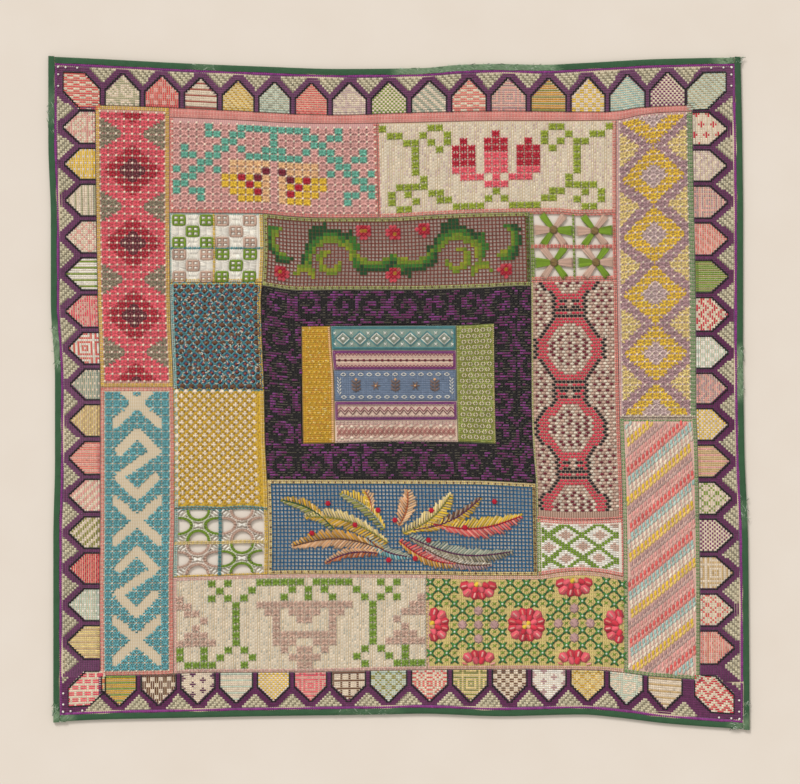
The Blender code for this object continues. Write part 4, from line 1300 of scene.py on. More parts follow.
def darn(cloth, s, t, pitch, colour, turn=0.0, high=0.55):
    """Parallel darning threads that fill a mesh."""
    lanes = 3
    for lane in range(lanes):
        off = (lane - (lanes - 1) / 2) / lanes * pitch
        ds, dt = off * math.sin(turn), off * math.cos(turn)
        cloth.level(s + ds, t + dt, pitch * 1.12, pitch / lanes * 1.02, high, colour, 0.0, "roof", turn)


def leaf_net():
    """Brown net darned with lobed scrolls in four greens and red flowers."""
    cloth = Cloth("panel_leaf_net")
    pitch = size("net_pitch")
    s, t = net(cloth, pitch, "net_brown", 0.8, 2.4)
    strands, cloth.laid = cloth.laid, []
    tone = np.full(s.shape, -1)
    for middle_s, middle_t, radius, start, span, half in SCROLLS:
        reach = np.hypot(s - middle_s, t - middle_t)
        angle = np.degrees(np.arctan2(t - middle_t, s - middle_s))
        share = ((angle - start) % 360) / span
        lobes = 1 + 0.42 * np.sign(np.sin(share * span / 360 * 2 * math.pi * radius / 3.0))
        wide = 0.7 + half * np.sin(np.clip(share, 0, 1) * math.pi) ** 0.8 * np.where(reach > radius, lobes, 1)
        leaf = (share < 1) & (np.abs(reach - radius) < wide)
        across = (radius - reach[leaf]) / half
        tone[leaf] = np.digitize(across, (-0.2, 0.35)) + (half < 2) * 2 + (share[leaf] > 0.7) * (half > 2)
    names = ("deep_green", "green", "leaf", "lime", "lime")
    darned = tone >= 0
    darn(cloth, s[darned], t[darned], pitch, tint(*names)[tone[darned]] * 1.1)
    for left, top in SCROLL_FLOWERS:
        from_middle = np.hypot(s - left, t - top)
        petals = (from_middle < 4.4) & (from_middle > 1.3)
        darn(cloth, s[petals], t[petals], pitch, tint("rose"), high=0.75, turn=math.pi / 4)
        petals = (from_middle < 3.3) & (from_middle > 1.3)
        cloth.crosses(s[petals], t[petals], pitch, pitch, tint("crimson"), wide=0.3, high=0.6, lift=0.4)
        heart = from_middle < 1.3
        darn(cloth, s[heart], t[heart], pitch, tint("ochre"), high=0.9)
    edge_rows(cloth, "moss", "brown")
    cloth.edging("r", "leaf", 2)
    cloth.done_open("linen", strands)


def edge_rows(cloth, name, tick):
    """A sewn edge round a net, with dark ticks."""
    cloth.edging("lrtb", name, 2)
    low = 1.3
    for depth in (low, cloth.high - low):
        cloth.level_row(depth, low, 4.2, 0.9, 0.8, tint(tick), 0.3, lap=0.3, slant=math.pi / 2)
    for place_across in (low, cloth.wide - low):
        cloth.upright_row(place_across, low, 4.2, 0.9, 0.8, tint(tick), 0.3, lap=0.3, slant=math.pi / 2)


def feather_net():
    """Blue net worked with curved feathers in autumn colours and small berries."""
    cloth = Cloth("panel_feather_net")
    net(cloth, size("net_pitch"), "net_blue", 0.8, 2.6)
    strands, cloth.laid = cloth.laid, []
    for root, tip, half, names in FEATHERS:
        feather(cloth, root, tip, half, names)
    for left, top in BERRIES:
        for k in range(3):
            cloth.level(left, top, 3.8, 1.8, 0.8, tint("crimson"), 0.4 + 0.05 * k, "grain", k * 1.05)
    edge_rows(cloth, "straw", "brown")
    cloth.edging("r", "straw", 2)
    cloth.done_open("linen", strands)


def dark_net():
    """Black net round the middle block, darned all over with curled ferns in purple silk."""
    cloth = Cloth("net_black")
    core = ("core_left", "core_right", "core_bottom", "core_top")
    left, right, bottom, top = (SEAMS[name] for name in core)

    room = 0.6

    def outside(s, t):
        x, y = cloth.spot(s, t)
        return (x < left(y) - room) | (x > right(y) + room) | (y < bottom(x) - room) | (y > top(x) + room)

    pitch, tile, curl, barbs, first_reach, last_reach = size("fine_pitch"), 19.0, 0.8, 5, 0.8, 11.5
    s, t = net(cloth, pitch, "black", 0.8, 0.5, outside, knots=False)
    column, row = np.floor(s / tile), np.floor(t / tile)
    x, y = s - (column + 0.5) * tile, t - (row + 0.5) * tile
    side = np.where((column + row) % 2 == 0, 1, -1)
    angle = np.arctan2(y, x * side) + row * 1.3 + column * 0.9
    reach = np.hypot(x, y)
    fern = (np.cos(angle - reach * curl) > 0.05) & (reach > first_reach) & (reach < last_reach)
    barb = np.sin(reach * 1.2 + angle * barbs) > -0.75
    chosen = fern & barb
    tone = cloth.chance.integers(0, 3, chosen.sum())
    shades = tint("violet", "magenta", "plum")[tone]
    cloth.level(s[chosen], t[chosen], pitch * 1.3, pitch * 0.75, 0.6, shades, 0.15)
    # Painted sheen: scattered dim grey-brown stitches stand in for the sheen on the black silk net.
    sheen = ~chosen & (cloth.chance.random(len(s)) < 0.4)
    cloth.level(s[sheen], t[sheen], pitch * 1.0, 0.45, 0.3, tint("taupe") * 0.5, 0.1)
    section = ((0, GAP / 2, 0), (1, 0, 0), (1, 0, NET_GROUND), (0.5, 0, NET_GROUND), (0, GAP / 2, NET_GROUND))
    ground = cloth_finish("net_ground", "black", "black", 1.5, 1.5, 0.5)
    sheet = own(ring_sheet("net_black_ground", cloth.sides, core, section, ground), "net_black")
    stitches = own(joined("net_black_stitches", cloth.laid, finish_of("silk")), "net_black")
    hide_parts("net_black")


def blue_knots():
    cloth = Cloth("panel_blue_knots")
    column, row = raster(np.arange(10), np.arange(24))
    s = 1.9 + (column + 0.5 * (row % 2) + 0.25) * (cloth.wide - 5.2) / 9.75
    t = 2.0 + row * (cloth.high - 4.0) / 23
    s, t = s + cloth.chance.normal(0, 0.3, len(s)), t + cloth.chance.normal(0, 0.25, len(s))
    ringed = row % 2 == 0
    rings = ((ringed, 1.9, ("teal", "pale_teal")), (~ringed, 2.3, ("teal", "net_blue")))
    for k in range(8):
        turn = 2 * math.pi * k / 8
        for chosen, reach, names in rings:
            u, v = s[chosen] + reach * math.cos(turn), t[chosen] + reach * math.sin(turn)
            cloth.level(u, v, 1.8, 0.9, 0.7, tint(names[k % 2]), 0.1, turn=math.pi / 2 - turn)
    for turn in (0.5, -0.5):
        cloth.level(s[~ringed], t[~ringed], 3.6, 1.3, 0.8, tint("brown"), 0.3, "grain", turn)
    cloth.dots(s[ringed], t[ringed], 1.6, tint("brick") * 0.8, 0.3)
    flecks = 420
    u, v = cloth.chance.uniform(3, cloth.wide - 3, flecks), cloth.chance.uniform(2, cloth.high - 2, flecks)
    cloth.level(u, v, 1.5, 0.6, 0.5, tint("cream"), 0.5, turn=cloth.chance.uniform(-1.5, 1.5, flecks))
    cloth.edging("l", "aqua")
    cloth.edging("r", "gold")
    cloth.edging("t", "gold", 1)
    cloth.done(cloth_finish("knot_ground", "brown", "black", 1.2, 1.2, 0.5))


def ochre_lattice():
    cloth = Cloth("panel_ochre_lattice")
    left, right, edge, pitch = 2.0, 3.4, 1.2, 5.3
    columns = round((cloth.wide - left - right) / pitch)
    rows = round((cloth.high - 2 * edge) / (pitch / 2))
    across, down = (cloth.wide - left - right) / columns, (cloth.high - 2 * edge) / rows
    column, row = raster(np.arange(columns + 1), np.arange(rows + 1))
    s, t = left + (column + 0.5 * (row % 2)) * across, edge + row * down
    inside = (s < cloth.wide - right) & (t < cloth.high - edge)
    s, t = s[inside], t[inside]
    for turn in (0.0, math.pi / 4, -math.pi / 4, math.pi / 2):
        cloth.level(s, t, across * 0.62, 2.1, 0.6, tint("cream") * 1.08, 0.05, "grain", turn)
    cloth.dots(s + across / 2, t, 1.3, tint("mustard"), 0.1)
    for k in (-1, 1):
        turn = k * math.atan2(down, across / 2)
        off, depth, long = across * 0.25, t + k * down * 0.5, across * 0.66
        cloth.level(s + off, depth, long, 0.65, 0.7, tint("gold"), 0.2, turn=-turn)
        cloth.level(s - off, depth, long, 0.65, 0.7, tint("mustard"), 0.2, turn=turn)
    cloth.edging("r", "gold")
    cloth.edging("l", "aqua", 2)
    cloth.edging("tb", "teal", 1)
    cloth.done(cloth_finish("ochre_ground", "gold", "mustard", 1.2, 1.2, 0.5))


def strap_octagons():
    """Brick-laid floats: wide red straps round octagons, edged with dark dashes, and maroon dots."""
    cloth = Cloth("panel_strap_octagons")
    middle, first, period = 23.2, 41.2, 48.2
    across, down = 2.5, 1.8
    columns, rows = round((cloth.wide - 3.4) / across), round((cloth.high - 3) / down)
    column, row = raster(np.arange(columns + 1) - columns // 2, np.arange(rows) - round(first / down))
    s, t = middle + (column + 0.5 * (row % 2)) * across, first + row * down
    inside = (s > 1.8) & (s < cloth.wide - 2.8) & (t > 1.6) & (t < cloth.high - 1.6)
    s, t, column, row = s[inside], t[inside], column[inside], row[inside]
    x, y = np.abs(s - middle), np.abs((t - first + period / 2) % period - period / 2)
    widest, narrowest, strap_width = 20.4, 9.8, 7.4
    outer = np.interp(y, (0, 5, 17, 25), (widest, widest, narrowest, narrowest))
    strap = (x < outer) & (x > outer - strap_width)
    strap |= (y > 14.5) & (y < 18.2) & (x < outer)
    dash = (np.abs(x - outer) < 1.25) & (y < 24)
    bars = (x < 6.8) & (x > 0.7) & ((np.abs(y - 19.6) < 1.0) | (np.abs(y - 23.2) < 1.0))
    from_middle = np.hypot(x, y * 1.1)
    ring = (np.abs(from_middle - 4.4) < 1.5) | (np.abs(from_middle - 10.0) < 1.6) | (from_middle < 1.0)
    corner = (x > 14) & (y > 12) & ((row // 2 + column) % 2 == 0)
    dots = ~strap & ((ring & ((row + column) % 2 == 0)) | (corner & (row % 2 == 0)))
    tone = np.where((column + row) % 2 == 0, 0, 1)
    tone[dots] = 2
    tone[strap] = 3
    tone[dash | bars] = 4
    shades = tint("fawn", "ecru", "maroon", "rose_red", "black")[tone]
    cloth.level(s, t, across * 1.02, down * 0.84, 0.8, shades, kind="grain")
    cloth.edging("r", "salmon")
    cloth.edging("l", "moss", 1)
    cloth.edging("tb", "salmon", 1)
    cloth.done(cloth_finish("strap_ground", "fawn", "brown", 1.4, 1.1, 0.5))


def fine_rows(cloth, names, rule, pitch=1.0):
    """Close fine stitches over a whole cloth, coloured by a rule of place that picks from the names."""
    s, t = raster(spaced(0.4, cloth.wide - 0.4, pitch * 1.25), spaced(0.4, cloth.high - 0.4, pitch))
    tone = rule(s, t).astype(int)
    cloth.level(s, t, pitch * 1.4, pitch * 0.95, 0.45, tint(*names)[tone])


def gold_strip():
    cloth = Cloth("strip_gold")

    def rule(s, t):
        fleck = cloth.chance.random(len(s))
        return np.where(s > cloth.wide - 1.8, 3, np.where(fleck < 0.3, 1, np.where(fleck < 0.34, 2, 0)))

    fine_rows(cloth, ("mustard", "ochre", "straw", "apricot"), rule, 1.15)
    s, t = raster(spaced(1.5, cloth.wide - 3, 3.2), spaced(1.5, cloth.high - 1.5, 3.0))
    s = s + (np.rint(t / 3.0) % 2) * 1.6
    for turn in (0.8, -0.8):
        cloth.level(s, t, 1.9, 0.6, 0.5, tint("yellow"), 0.2, "roof", turn)
    cloth.dots(s, t, 0.7, tint("straw"), 0.5)
    cloth.done(cloth_finish("gold_ground", "mustard", "brown", 1.0, 1.0, 0.5), "silk", 3.0)


def green_strip():
    cloth = Cloth("strip_green")
    fine_rows(cloth, ("olive", "moss"), lambda s, t: cloth.chance.random(len(s)) < 0.3, 1.15)
    s, t = raster(spaced(2, cloth.wide - 1.5, 3.9), spaced(1.5, cloth.high - 1.5, 3.4))
    s = s + (np.rint(t / 3.4) % 2) * 1.2 - 0.6
    for side in (-1, 1):
        for k in (-1, 1):
            u, v = s + side * 0.85, t + k * 0.55
            cloth.level(u, v, 1.6, 0.6, 0.6, tint("cream"), 0.3, turn=side * k * 0.8)
    cloth.edging("r", "straw", 1, 0.8)
    cloth.edging("l", "moss", 1, 0.8)
    cloth.done(cloth_finish("green_ground", "olive", "green", 1.0, 1.0, 0.5), "silk", 3.0)


def teal_band():
    cloth = Cloth("band_teal")
    count, middle = 7, cloth.high / 2 + 0.4
    pitch = (cloth.wide - 4) / count
    s = 2 + (np.arange(count) + 0.5) * pitch
    for k, name in ((1.0, "white"), (2.2, "grey_green"), (3.4, "white"), (4.6, "teal")):
        half = min(k, middle - 2.4)
        for side in (-1, 1):
            for up in (-1, 1):
                cloth.lay("roof", s + side * k * 1.08, np.full(count, middle), s + side * (k - half) * 1.08,
                          np.full(count, middle + up * half), 0.6, 0.6, tint(name), 0.2)
    cloth.level(s, np.full(count, middle), 1.8, 1.5, 0.7, tint("white"), 0.3, "grain")
    between = 2 + np.arange(count + 1) * pitch
    for up in (-1, 1):
        depth = np.full(count + 1, middle + up * 3.4)
        for lean in (-0.8, 0.8):
            cloth.level(between, depth, 2.4, 0.6, 0.5, tint("white"), 0.2, turn=lean)
    outline(cloth, "teal")
    cloth.done(cloth_finish("teal_ground", "grey_green", "teal", 0.8, 1.0, 0.5), "silk", 3.0)


def purple_band():
    cloth = Cloth("band_purple")
    for depth in (2.4, cloth.high - 2.4):
        zigzag(cloth, depth, 0.7, 1.1, 0.5, tint("berry"))
    for depth in (3.9, cloth.high - 3.9):
        cloth.level_row(depth, 1.4, 1.5, 0.5, 0.5, tint("dusty_pink"), 0.2, lap=0.7)
    middle = cloth.high / 2
    cloth.level_row(middle, 1.4, 2.1, 0.6, 0.6, tint("maroon"), 0.2)
    at = spaced(2, cloth.wide - 2, 3.6)
    cloth.level(at, np.full(len(at), middle), 1.9, 1.5, 0.7, tint("maroon"), 0.3, "grain")
    outline(cloth, "magenta")
    cloth.done(cloth_finish("purple_ground", "cream", "peach_pink", 0.8, 1.0, 0.5), "silk", 3.0)


def blue_band():
    """Blue silk with chains of white ovals and a row of small stars and sprigs."""
    cloth = Cloth("band_blue")
    fine_rows(cloth, ("blue", "blue"), lambda s, t: t * 0, 1.1)
    middle = cloth.high / 2
    at = spaced(3, cloth.wide - 3, 5.0)
    for depth in (2.4, cloth.high - 2.4):
        for side in (-1, 1):
            for k in (-1, 1):
                u, v, turn = at + k * 0.85, depth + side * 0.5, k * side * 0.5
                cloth.level(u, v, 1.9, 0.55, 0.6, tint("white"), 0.25, turn=turn)
    for edge in (2.9, cloth.wide - 2.9):
        for side in (-1, 1):
            u, v = edge + side * 0.6, spaced(4.2, cloth.high - 4.2, 2.1) + side * 0.4
            cloth.level(u, v, 2.0, 0.55, 0.6, tint("white"), 0.25, turn=side * 1.0)
    for k, s in enumerate(np.linspace(13, cloth.wide - 13, 5)):
        if k % 2:
            for turn in (0, math.pi / 3, -math.pi / 3):
                cloth.level(s, middle, 6.4, 1.0, 0.7, tint("bronze"), 0.3, "grain", turn)
            cloth.dots(s, middle, 1.4, tint("peach"), 0.8)
            continue
        cloth.level(s, middle + 0.6, 8.0, 0.9, 0.7, tint("bronze"), 0.25, "grain", math.pi / 2)
        for side in (-1, 1):
            for rise in (-2.2, 0, 2.2):
                u, v, turn = s + side * 1.6, middle + rise, side * 0.7
                cloth.level(u, v, 3.4, 1.3, 0.7, tint("bronze"), 0.3, "grain", turn)
        cloth.dots(s, middle - 3.8, 1.8, tint("peach"), 0.4)
    cloth.done(cloth_finish("blue_ground", "blue", "net_blue", 1.0, 1.0, 0.5), "silk", 3.0)


def zigzag_band():
    cloth = Cloth("band_zigzag")
    middle = cloth.high / 2
    for off, name in ((-0.9, "berry"), (0.9, "maroon")):
        zigzag(cloth, middle + off, 1.4, 2.4, 0.5, tint(name))
    for depth in (2.3, cloth.high - 2.3):
        zigzag(cloth, depth, 0.5, 1.0, 0.5, tint("dull_mauve"))
    outline(cloth, "magenta")
    cloth.done(cloth_finish("zigzag_ground", "cream", "dusty_pink", 0.8, 1.0, 0.5), "silk", 3.0)


def rose_band():
    cloth = Cloth("band_rose")
    middle, reach = cloth.high / 2 + 0.3, 2.9
    for off in (-0.6, 0.6):
        for half in (-1.9, 1.9):
            zigzag(cloth, middle + off, half, reach, 0.5, tint("brick") * 0.6 + tint("dusty_pink") * 0.4)
    at = spaced(1.2, cloth.wide - 1.2, 2 * reach)
    for depth in (middle - 3.3, middle + 3.3):
        cloth.level(at, np.full(len(at), depth), 2.6, 2.2, 0.5, tint("cream"), 0.25, "grain")
        zigzag(cloth, depth - 0.4, 0.9, reach, 0.5, tint("dusty_pink"), 0.3)
    for depth in (0.8, cloth.high - 0.8, 1.9):
        cloth.level_row(depth, 0.6, 1.1, 0.9, 0.5, flecked("dull_mauve", 0.5), 0.1, slant=0.6)
    cloth.done(cloth_finish("rose_band_ground", "cream", "peach_pink", 0.8, 1.0, 0.5), "silk", 3.0)


def filling(kind, i, j):
    """The stitches of an arch that show its first colour, counted along it and up it."""
    i, j = i + 60, j + 60
    in_square = np.maximum(np.abs(i % 8 - 4), np.abs((j + 2) % 8 - 4))
    patterns = {
        "tweed": (i * 7 + j * 5 + i * j) % 7 < 3,
        "dashes": (j % 3 > 0) & ((i + j // 3 * 2) % 4 < 2),
        "level": j % 3 == 0,
        "upright": i % 3 == 0,
        "twill": (i + j) % 3 == 0,
        "slant": (i + j) % 4 < 2,
        "zigzag": (j + np.abs(i % 6 - 3)) % 4 < 2,
        "lattice": ((i + j) % 5 == 0) | ((i - j) % 5 == 0),
        "speckle": (i + j) % 2 == 0,
        "scales": (j + np.abs(i % 6 - 3) // 2) % 3 > 0,
        "checks": (i // 2 + j // 2) % 2 == 0,
        "dots": (i % 3 == 0) & ((j + i // 3) % 2 == 0),
        "squares": in_square % 2 == 1,
        "windows": (i % 4 == 0) | (j % 4 == 0),
        "rings": np.rint(np.hypot(i % 8 - 4, (j + 2) % 8 - 4)) % 2 == 1,
        "flowers": np.abs(i % 5 - 2) + np.abs((j + i // 5 * 2) % 5 - 2) < 2,
        "bricks": (j % 3 > 0) & ((i + j // 3 * 2) % 4 > 0),
    }
    return patterns[kind]


class BorderSide(Cloth):
    """One side of the border: s runs along the side in X or Y, t is the depth out from the field."""

    def __init__(self, side):
        self.node = "border_canvas"
        self.side = side
        self.upright = side in ("left", "right")
        self.sign = 1 if side in ("right", "top") else -1
        self.points = np.array(ARCH_POINTS[side], float)
        middles = (self.points[1:] + self.points[:-1]) / 2
        self.bars = np.concatenate(([self.points[0] - END_BAR], middles, [self.points[-1] + END_BAR]))
        self.laid = []
        self.chance = np.random.default_rng(len(side) * 7)
        near, far = ("bottom", "top") if self.upright else ("left", "right")
        at, room = self.sign * 175, BINDING_WIDTH + GAP
        self.corners = float(SEAMS[f"field_{near}"](at)), float(SEAMS[f"field_{far}"](at))
        self.ends = float(SEAMS[f"outer_{near}"](at)) + room, float(SEAMS[f"outer_{far}"](at)) - room
        self.stretch = [abs(end - corner) / BORDER_DEPTH for end, corner in zip(self.ends, self.corners)]

    def spot(self, s, t):
        field = SEAMS[f"field_{self.side}"](s)
        edge = SEAMS[f"outer_{self.side}"](s) - self.sign * (BINDING_WIDTH + GAP)
        across = field + (edge - field) * t / BORDER_DEPTH
        return (across, s) if self.upright else (s, across)

    def rise(self, s, t):
        x, y = self.spot(s, t)
        return CANVAS + pucker(x, y)

    def past_end(self, s):
        """How far a place lies past the side's last bar, less than 0 between the bars."""
        return np.maximum(self.bars[0] - s, s - self.bars[-1])

    def beyond(self, s):
        """How deep a place lies in the border of the side round the corner."""
        return np.maximum((self.corners[0] - s) / self.stretch[0], (s - self.corners[1]) / self.stretch[1])

    def zones(self, s, t):
        """0 purple, 1 sage triangle, 2 left free for a filling."""
        from_bar = np.abs(s[:, None] - self.bars).min(axis=1)
        past = self.past_end(s)
        arch = (t < ARCH_SHOULDER + ARCH_SLOPE * (from_bar - BAR_HALF)) & (from_bar > BAR_HALF) & (past < 0)
        sage = t > SAGE_TIP + SAGE_SLOPE * from_bar
        other = self.beyond(s)
        mirrored = other > SAGE_TIP + SAGE_SLOPE * (t + CORNER_LAP)
        within = BORDER_DEPTH - 1.2
        sage = np.where(past > 0, sage | mirrored, sage) & (t < within) & (other < within)
        petal = (np.abs(t - other) < PETAL_HALF) & (np.maximum(t, other) < PETAL_REACH)
        petal &= (np.minimum(t, other) > -PETAL_LAP) & (past > 0)
        return np.where(petal | arch, 2, np.where(sage, 1, 0))

    def ground_rows(self):
        """The purple zigzag, the sage triangles and the magenta rows beside the ribbon."""
        pitch = size("border_pitch")
        low, high = self.corners if self.upright else self.ends
        if self.upright:
            low, high = low - SEAM_SHOULDER, high + SEAM_SHOULDER
        s, t = raster(spaced(low, high, pitch), spaced(0.3, BORDER_DEPTH - 1.5, pitch))
        zone = self.zones(s, t)
        purple = zone == 0
        # The purple is paler on the left and top sides than on the right and bottom, and its paleness drifts
        # slowly along each side.
        paleness_drift = 0.5 + 0.5 * np.sin(s[purple] / 37 + self.points[0])
        deep, dull = tint("plum", "dull_plum")
        mix = 0.7 if self.side in ("left", "top") else 0.1
        share = np.clip(mix + 0.4 * (paleness_drift - 0.5), 0, 1)[:, None]
        shades = deep * (1 - share) + dull * share
        self.level(s[purple], t[purple], pitch * 1.5, pitch * 1.6, 0.5, shades)
        sage = zone == 1
        dash = (np.rint((s[sage] + t[sage]) / pitch) % 3 == 0)[:, None]
        shades = np.where(dash, tint("taupe"), tint("pale_sage"))
        self.level(s[sage], t[sage], pitch * 1.15, pitch * 1.3, 0.6, shades, 0.05)
        last = BORDER_DEPTH - 0.3
        self.row(((low, last), (high, last)), 1.3, 2.4, 0.5, tint("magenta"), slant=0.4)
        if not self.upright:
            for end in (low + 0.7, high - 0.7):
                self.row(((end, 0), (end, BORDER_DEPTH - 1)), 1.3, 1.3, 0.6, tint("magenta"), 0.1, slant=0.4)

    def counted(self, left, right, low, high, kind, names, inside):
        """Counted stitches between two places along the side and two depths, where they lie inside."""
        columns, rows = round((right - left) / COUNT), round((high - low) / COUNT)
        across, down = (right - left) / columns, (high - low) / rows
        i, j = raster(np.arange(columns), np.arange(rows))
        s, t = left + (i + 0.5) * across, low + (j + 0.5) * down
        kept = inside(s, t)
        first = filling(kind, i[kept] - columns // 2, j[kept])
        shades = np.where(first[:, None], tint(names[0]), tint(names[1]))
        turn = math.pi / 2 if kind in ("upright", "dashes") else 0.0
        self.level(s[kept], t[kept], across * 1.15, down * 0.95, 0.5, shades, turn=turn)

    def stair(self, start, stop):
        """A dark stepped line of upright and level stitches."""
        (s0, t0), (s1, t1) = start, stop
        count = max(1, round(abs(s1 - s0) / 1.4))
        s, t = np.linspace(s0, s1, count + 1), np.linspace(t0, t1, count + 1)
        self.lay("roof", s[:-1], t[:-1] - 0.3, s[:-1], t[1:] + 0.3, 1.3, 0.8, tint("black"), 0.1)
        self.lay("roof", s[:-1] - 0.2, t[1:], s[1:] + 0.2, t[1:], 1.3, 0.8, tint("black"), 0.1)

    def arch(self, index, kind, *names):
        """One arch: its filling and its dark outline."""
        left, right = self.bars[index] + BAR_HALF, self.bars[index + 1] - BAR_HALF
        half, middle = (right - left) / 2, (right + left) / 2
        peak = ARCH_SHOULDER + ARCH_SLOPE * half

        def inside(s, t):
            return t < ARCH_SHOULDER - 0.2 + ARCH_SLOPE * (half - np.abs(s - middle))

        self.counted(left + 0.5, right - 0.5, 0.2, peak, kind, names, inside)
        for edge in (left, right):
            self.row(((edge, 0.2), (edge, ARCH_SHOULDER)), 1.4, 1.15, 0.8, tint("black"), 0.1)
            self.stair((edge, ARCH_SHOULDER), (middle, peak))

    def petal(self, end, kind, *names):
        """The petal at one end of the side, across the corner."""
        start, scale = (self.corners[1], self.stretch[1]) if end > 0 else (self.corners[0], self.stretch[0])

        def inside(s, t):
            return np.abs((s - start) * end / scale - t) < PETAL_HALF

        def from_corner(bend):
            return [(start + end * a, b) for a, b in bend]

        left, right = sorted((start - end * PETAL_LAP * scale, start + end * PETAL_REACH * scale))
        self.counted(left, right, -PETAL_LAP, PETAL_REACH, kind, names, inside)
        end *= scale
        near, far, half = -PETAL_LAP, PETAL_REACH, PETAL_HALF
        low = from_corner(((near, 0.5), (near, half + near), (far - half, far), (far, far)))
        high = from_corner(((0.5, near), (half + near, near), (far, far - half), (far, far)))
        for bend in (low, high):
            self.row(bend[:2], 1.4, 1.15, 0.8, tint("black"), 0.1)
            self.stair(*bend[1:3])
            self.row(bend[2:], 1.4, 1.15, 0.8, tint("black"), 0.1)
        out = BORDER_DEPTH - 2.0
        for along in (21.2, 16.8, 10.2):
            self.dots(start + end * along, out, 1.4, tint("white"), 0.5)
            self.dots(start + end * out, along, 1.4, tint("white"), 0.5)


def border():
    """The canvas ring with its arches, zigzag and corner petals."""
    for side, arches in ARCH_FILLINGS.items():
        part = BorderSide(side)
        part.ground_rows()
        for index, (kind, first, second) in enumerate(arches):
            part.arch(index, kind, first, second)
        for at, end, kind, first, second in CORNER_PETALS:
            if at == side:
                part.petal(end, kind, first, second)
        name = f"border_{side}_stitches"
        own(joined(name, part.laid, finish_of("wool")), "border_canvas")
    canvas = own(border_sheet(cloth_finish("border_ground", "cream", "tan", 1.0, 1.0, 0.5)), "border_canvas")
    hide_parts("border_canvas")


def ring_rows(outer, inner, section, stations=100):
    """Rows of points round a ring at its sections: a share of the way in, an inset and a height."""
    steps = np.arange(stations) / stations
    u = np.concatenate((0 * steps, steps, 0 * steps + 1, 1 - steps))
    v = np.concatenate((1 - steps, 0 * steps, steps, 0 * steps + 1))
    x1, y1 = place(inner, u, v, -GAP / 2)
    for share, inset, height in section:
        x0, y0 = place(outer, u, v, inset)
        x, y = x0 + (x1 - x0) * share, y0 + (y1 - y0) * share
        lift = pucker(x, y) if 0 < share < 1 else 0 * x
        yield np.stack((x, y, height + lift), axis=-1)


def ring_sheet(name, outer, inner, section, finish):
    """A closed ring of cloth between outer and inner seams, with that section."""
    rows = np.array(list(ring_rows(outer, inner, section)))
    bm = bmesh.new()
    bmesh.ops.create_grid(bm, x_segments=rows.shape[1], y_segments=len(rows), size=0.5)
    for vert in bm.verts:
        i = round((vert.co.x + 0.5) * rows.shape[1]) % rows.shape[1]
        j = round((vert.co.y + 0.5) * len(rows)) % len(rows)
        vert.co = rows[j, i]
    bmesh.ops.remove_doubles(bm, verts=bm.verts, dist=0.001)
    return solid(name, bm, finish)


def border_sheet(finish):
    """The border's canvas as a ring, thinned from below where the ribbon folds under it."""
    outer = ("outer_left", "outer_right", "outer_bottom", "outer_top")
    inner = ("field_left", "field_right", "field_bottom", "field_top")
    low, edge = RIBBON + GAP, BINDING_WIDTH + GAP
    section = ((0, low, low), (0, edge, low), (0, edge, 0), (1, 0, 0), (1, 0, CANVAS - SEAM_DROP),
               (0.93, 0, CANVAS), (0.6, 0, CANVAS), (0.3, BINDING_WIDTH, CANVAS), (0, edge, CANVAS),
               (0, low, CANVAS))
    return ring_sheet("border_canvas_cloth", outer, inner, section, finish)


def ribbon_point(side, t, inset):
    """Points a share t along one side of the ribbon, that far in from the outer edge."""
    x, y = 0 * t, 0 * t
    sign = 1 if side in ("left", "bottom") else -1
    for _ in range(8):
        if side in ("left", "right"):
            low, high = SEAMS["outer_bottom"](x), SEAMS["outer_top"](x)
            y = low + (high - low) * t
            x = SEAMS[f"outer_{side}"](y) + sign * inset
        else:
            near = SEAMS["outer_left"](y) + BINDING_WIDTH + GAP
            far = SEAMS["outer_right"](y) - BINDING_WIDTH - GAP
            x = near + (far - near) * t
            y = SEAMS[f"outer_{side}"](x) + sign * inset
    return x, y


# Worn stretches of each side of the ribbon, as shares along it, and how far it is worn
RIBBON_WEAR = {
    "left": ((0.53, 0.6, 0.9), (0.0, 0.02, 1.0), (0.9, 0.95, 0.35)),
    "right": ((0.49, 0.57, 0.95), (0.0, 0.02, 0.7), (0.3, 0.34, 0.3)),
    "bottom": ((0.0, 0.02, 1.0), (0.98, 1.0, 0.8), (0.4, 0.5, 0.2)),
    "top": ((0.5, 0.74, 0.95), (0.97, 1.0, 1.0), (0.2, 0.24, 0.3)),
}


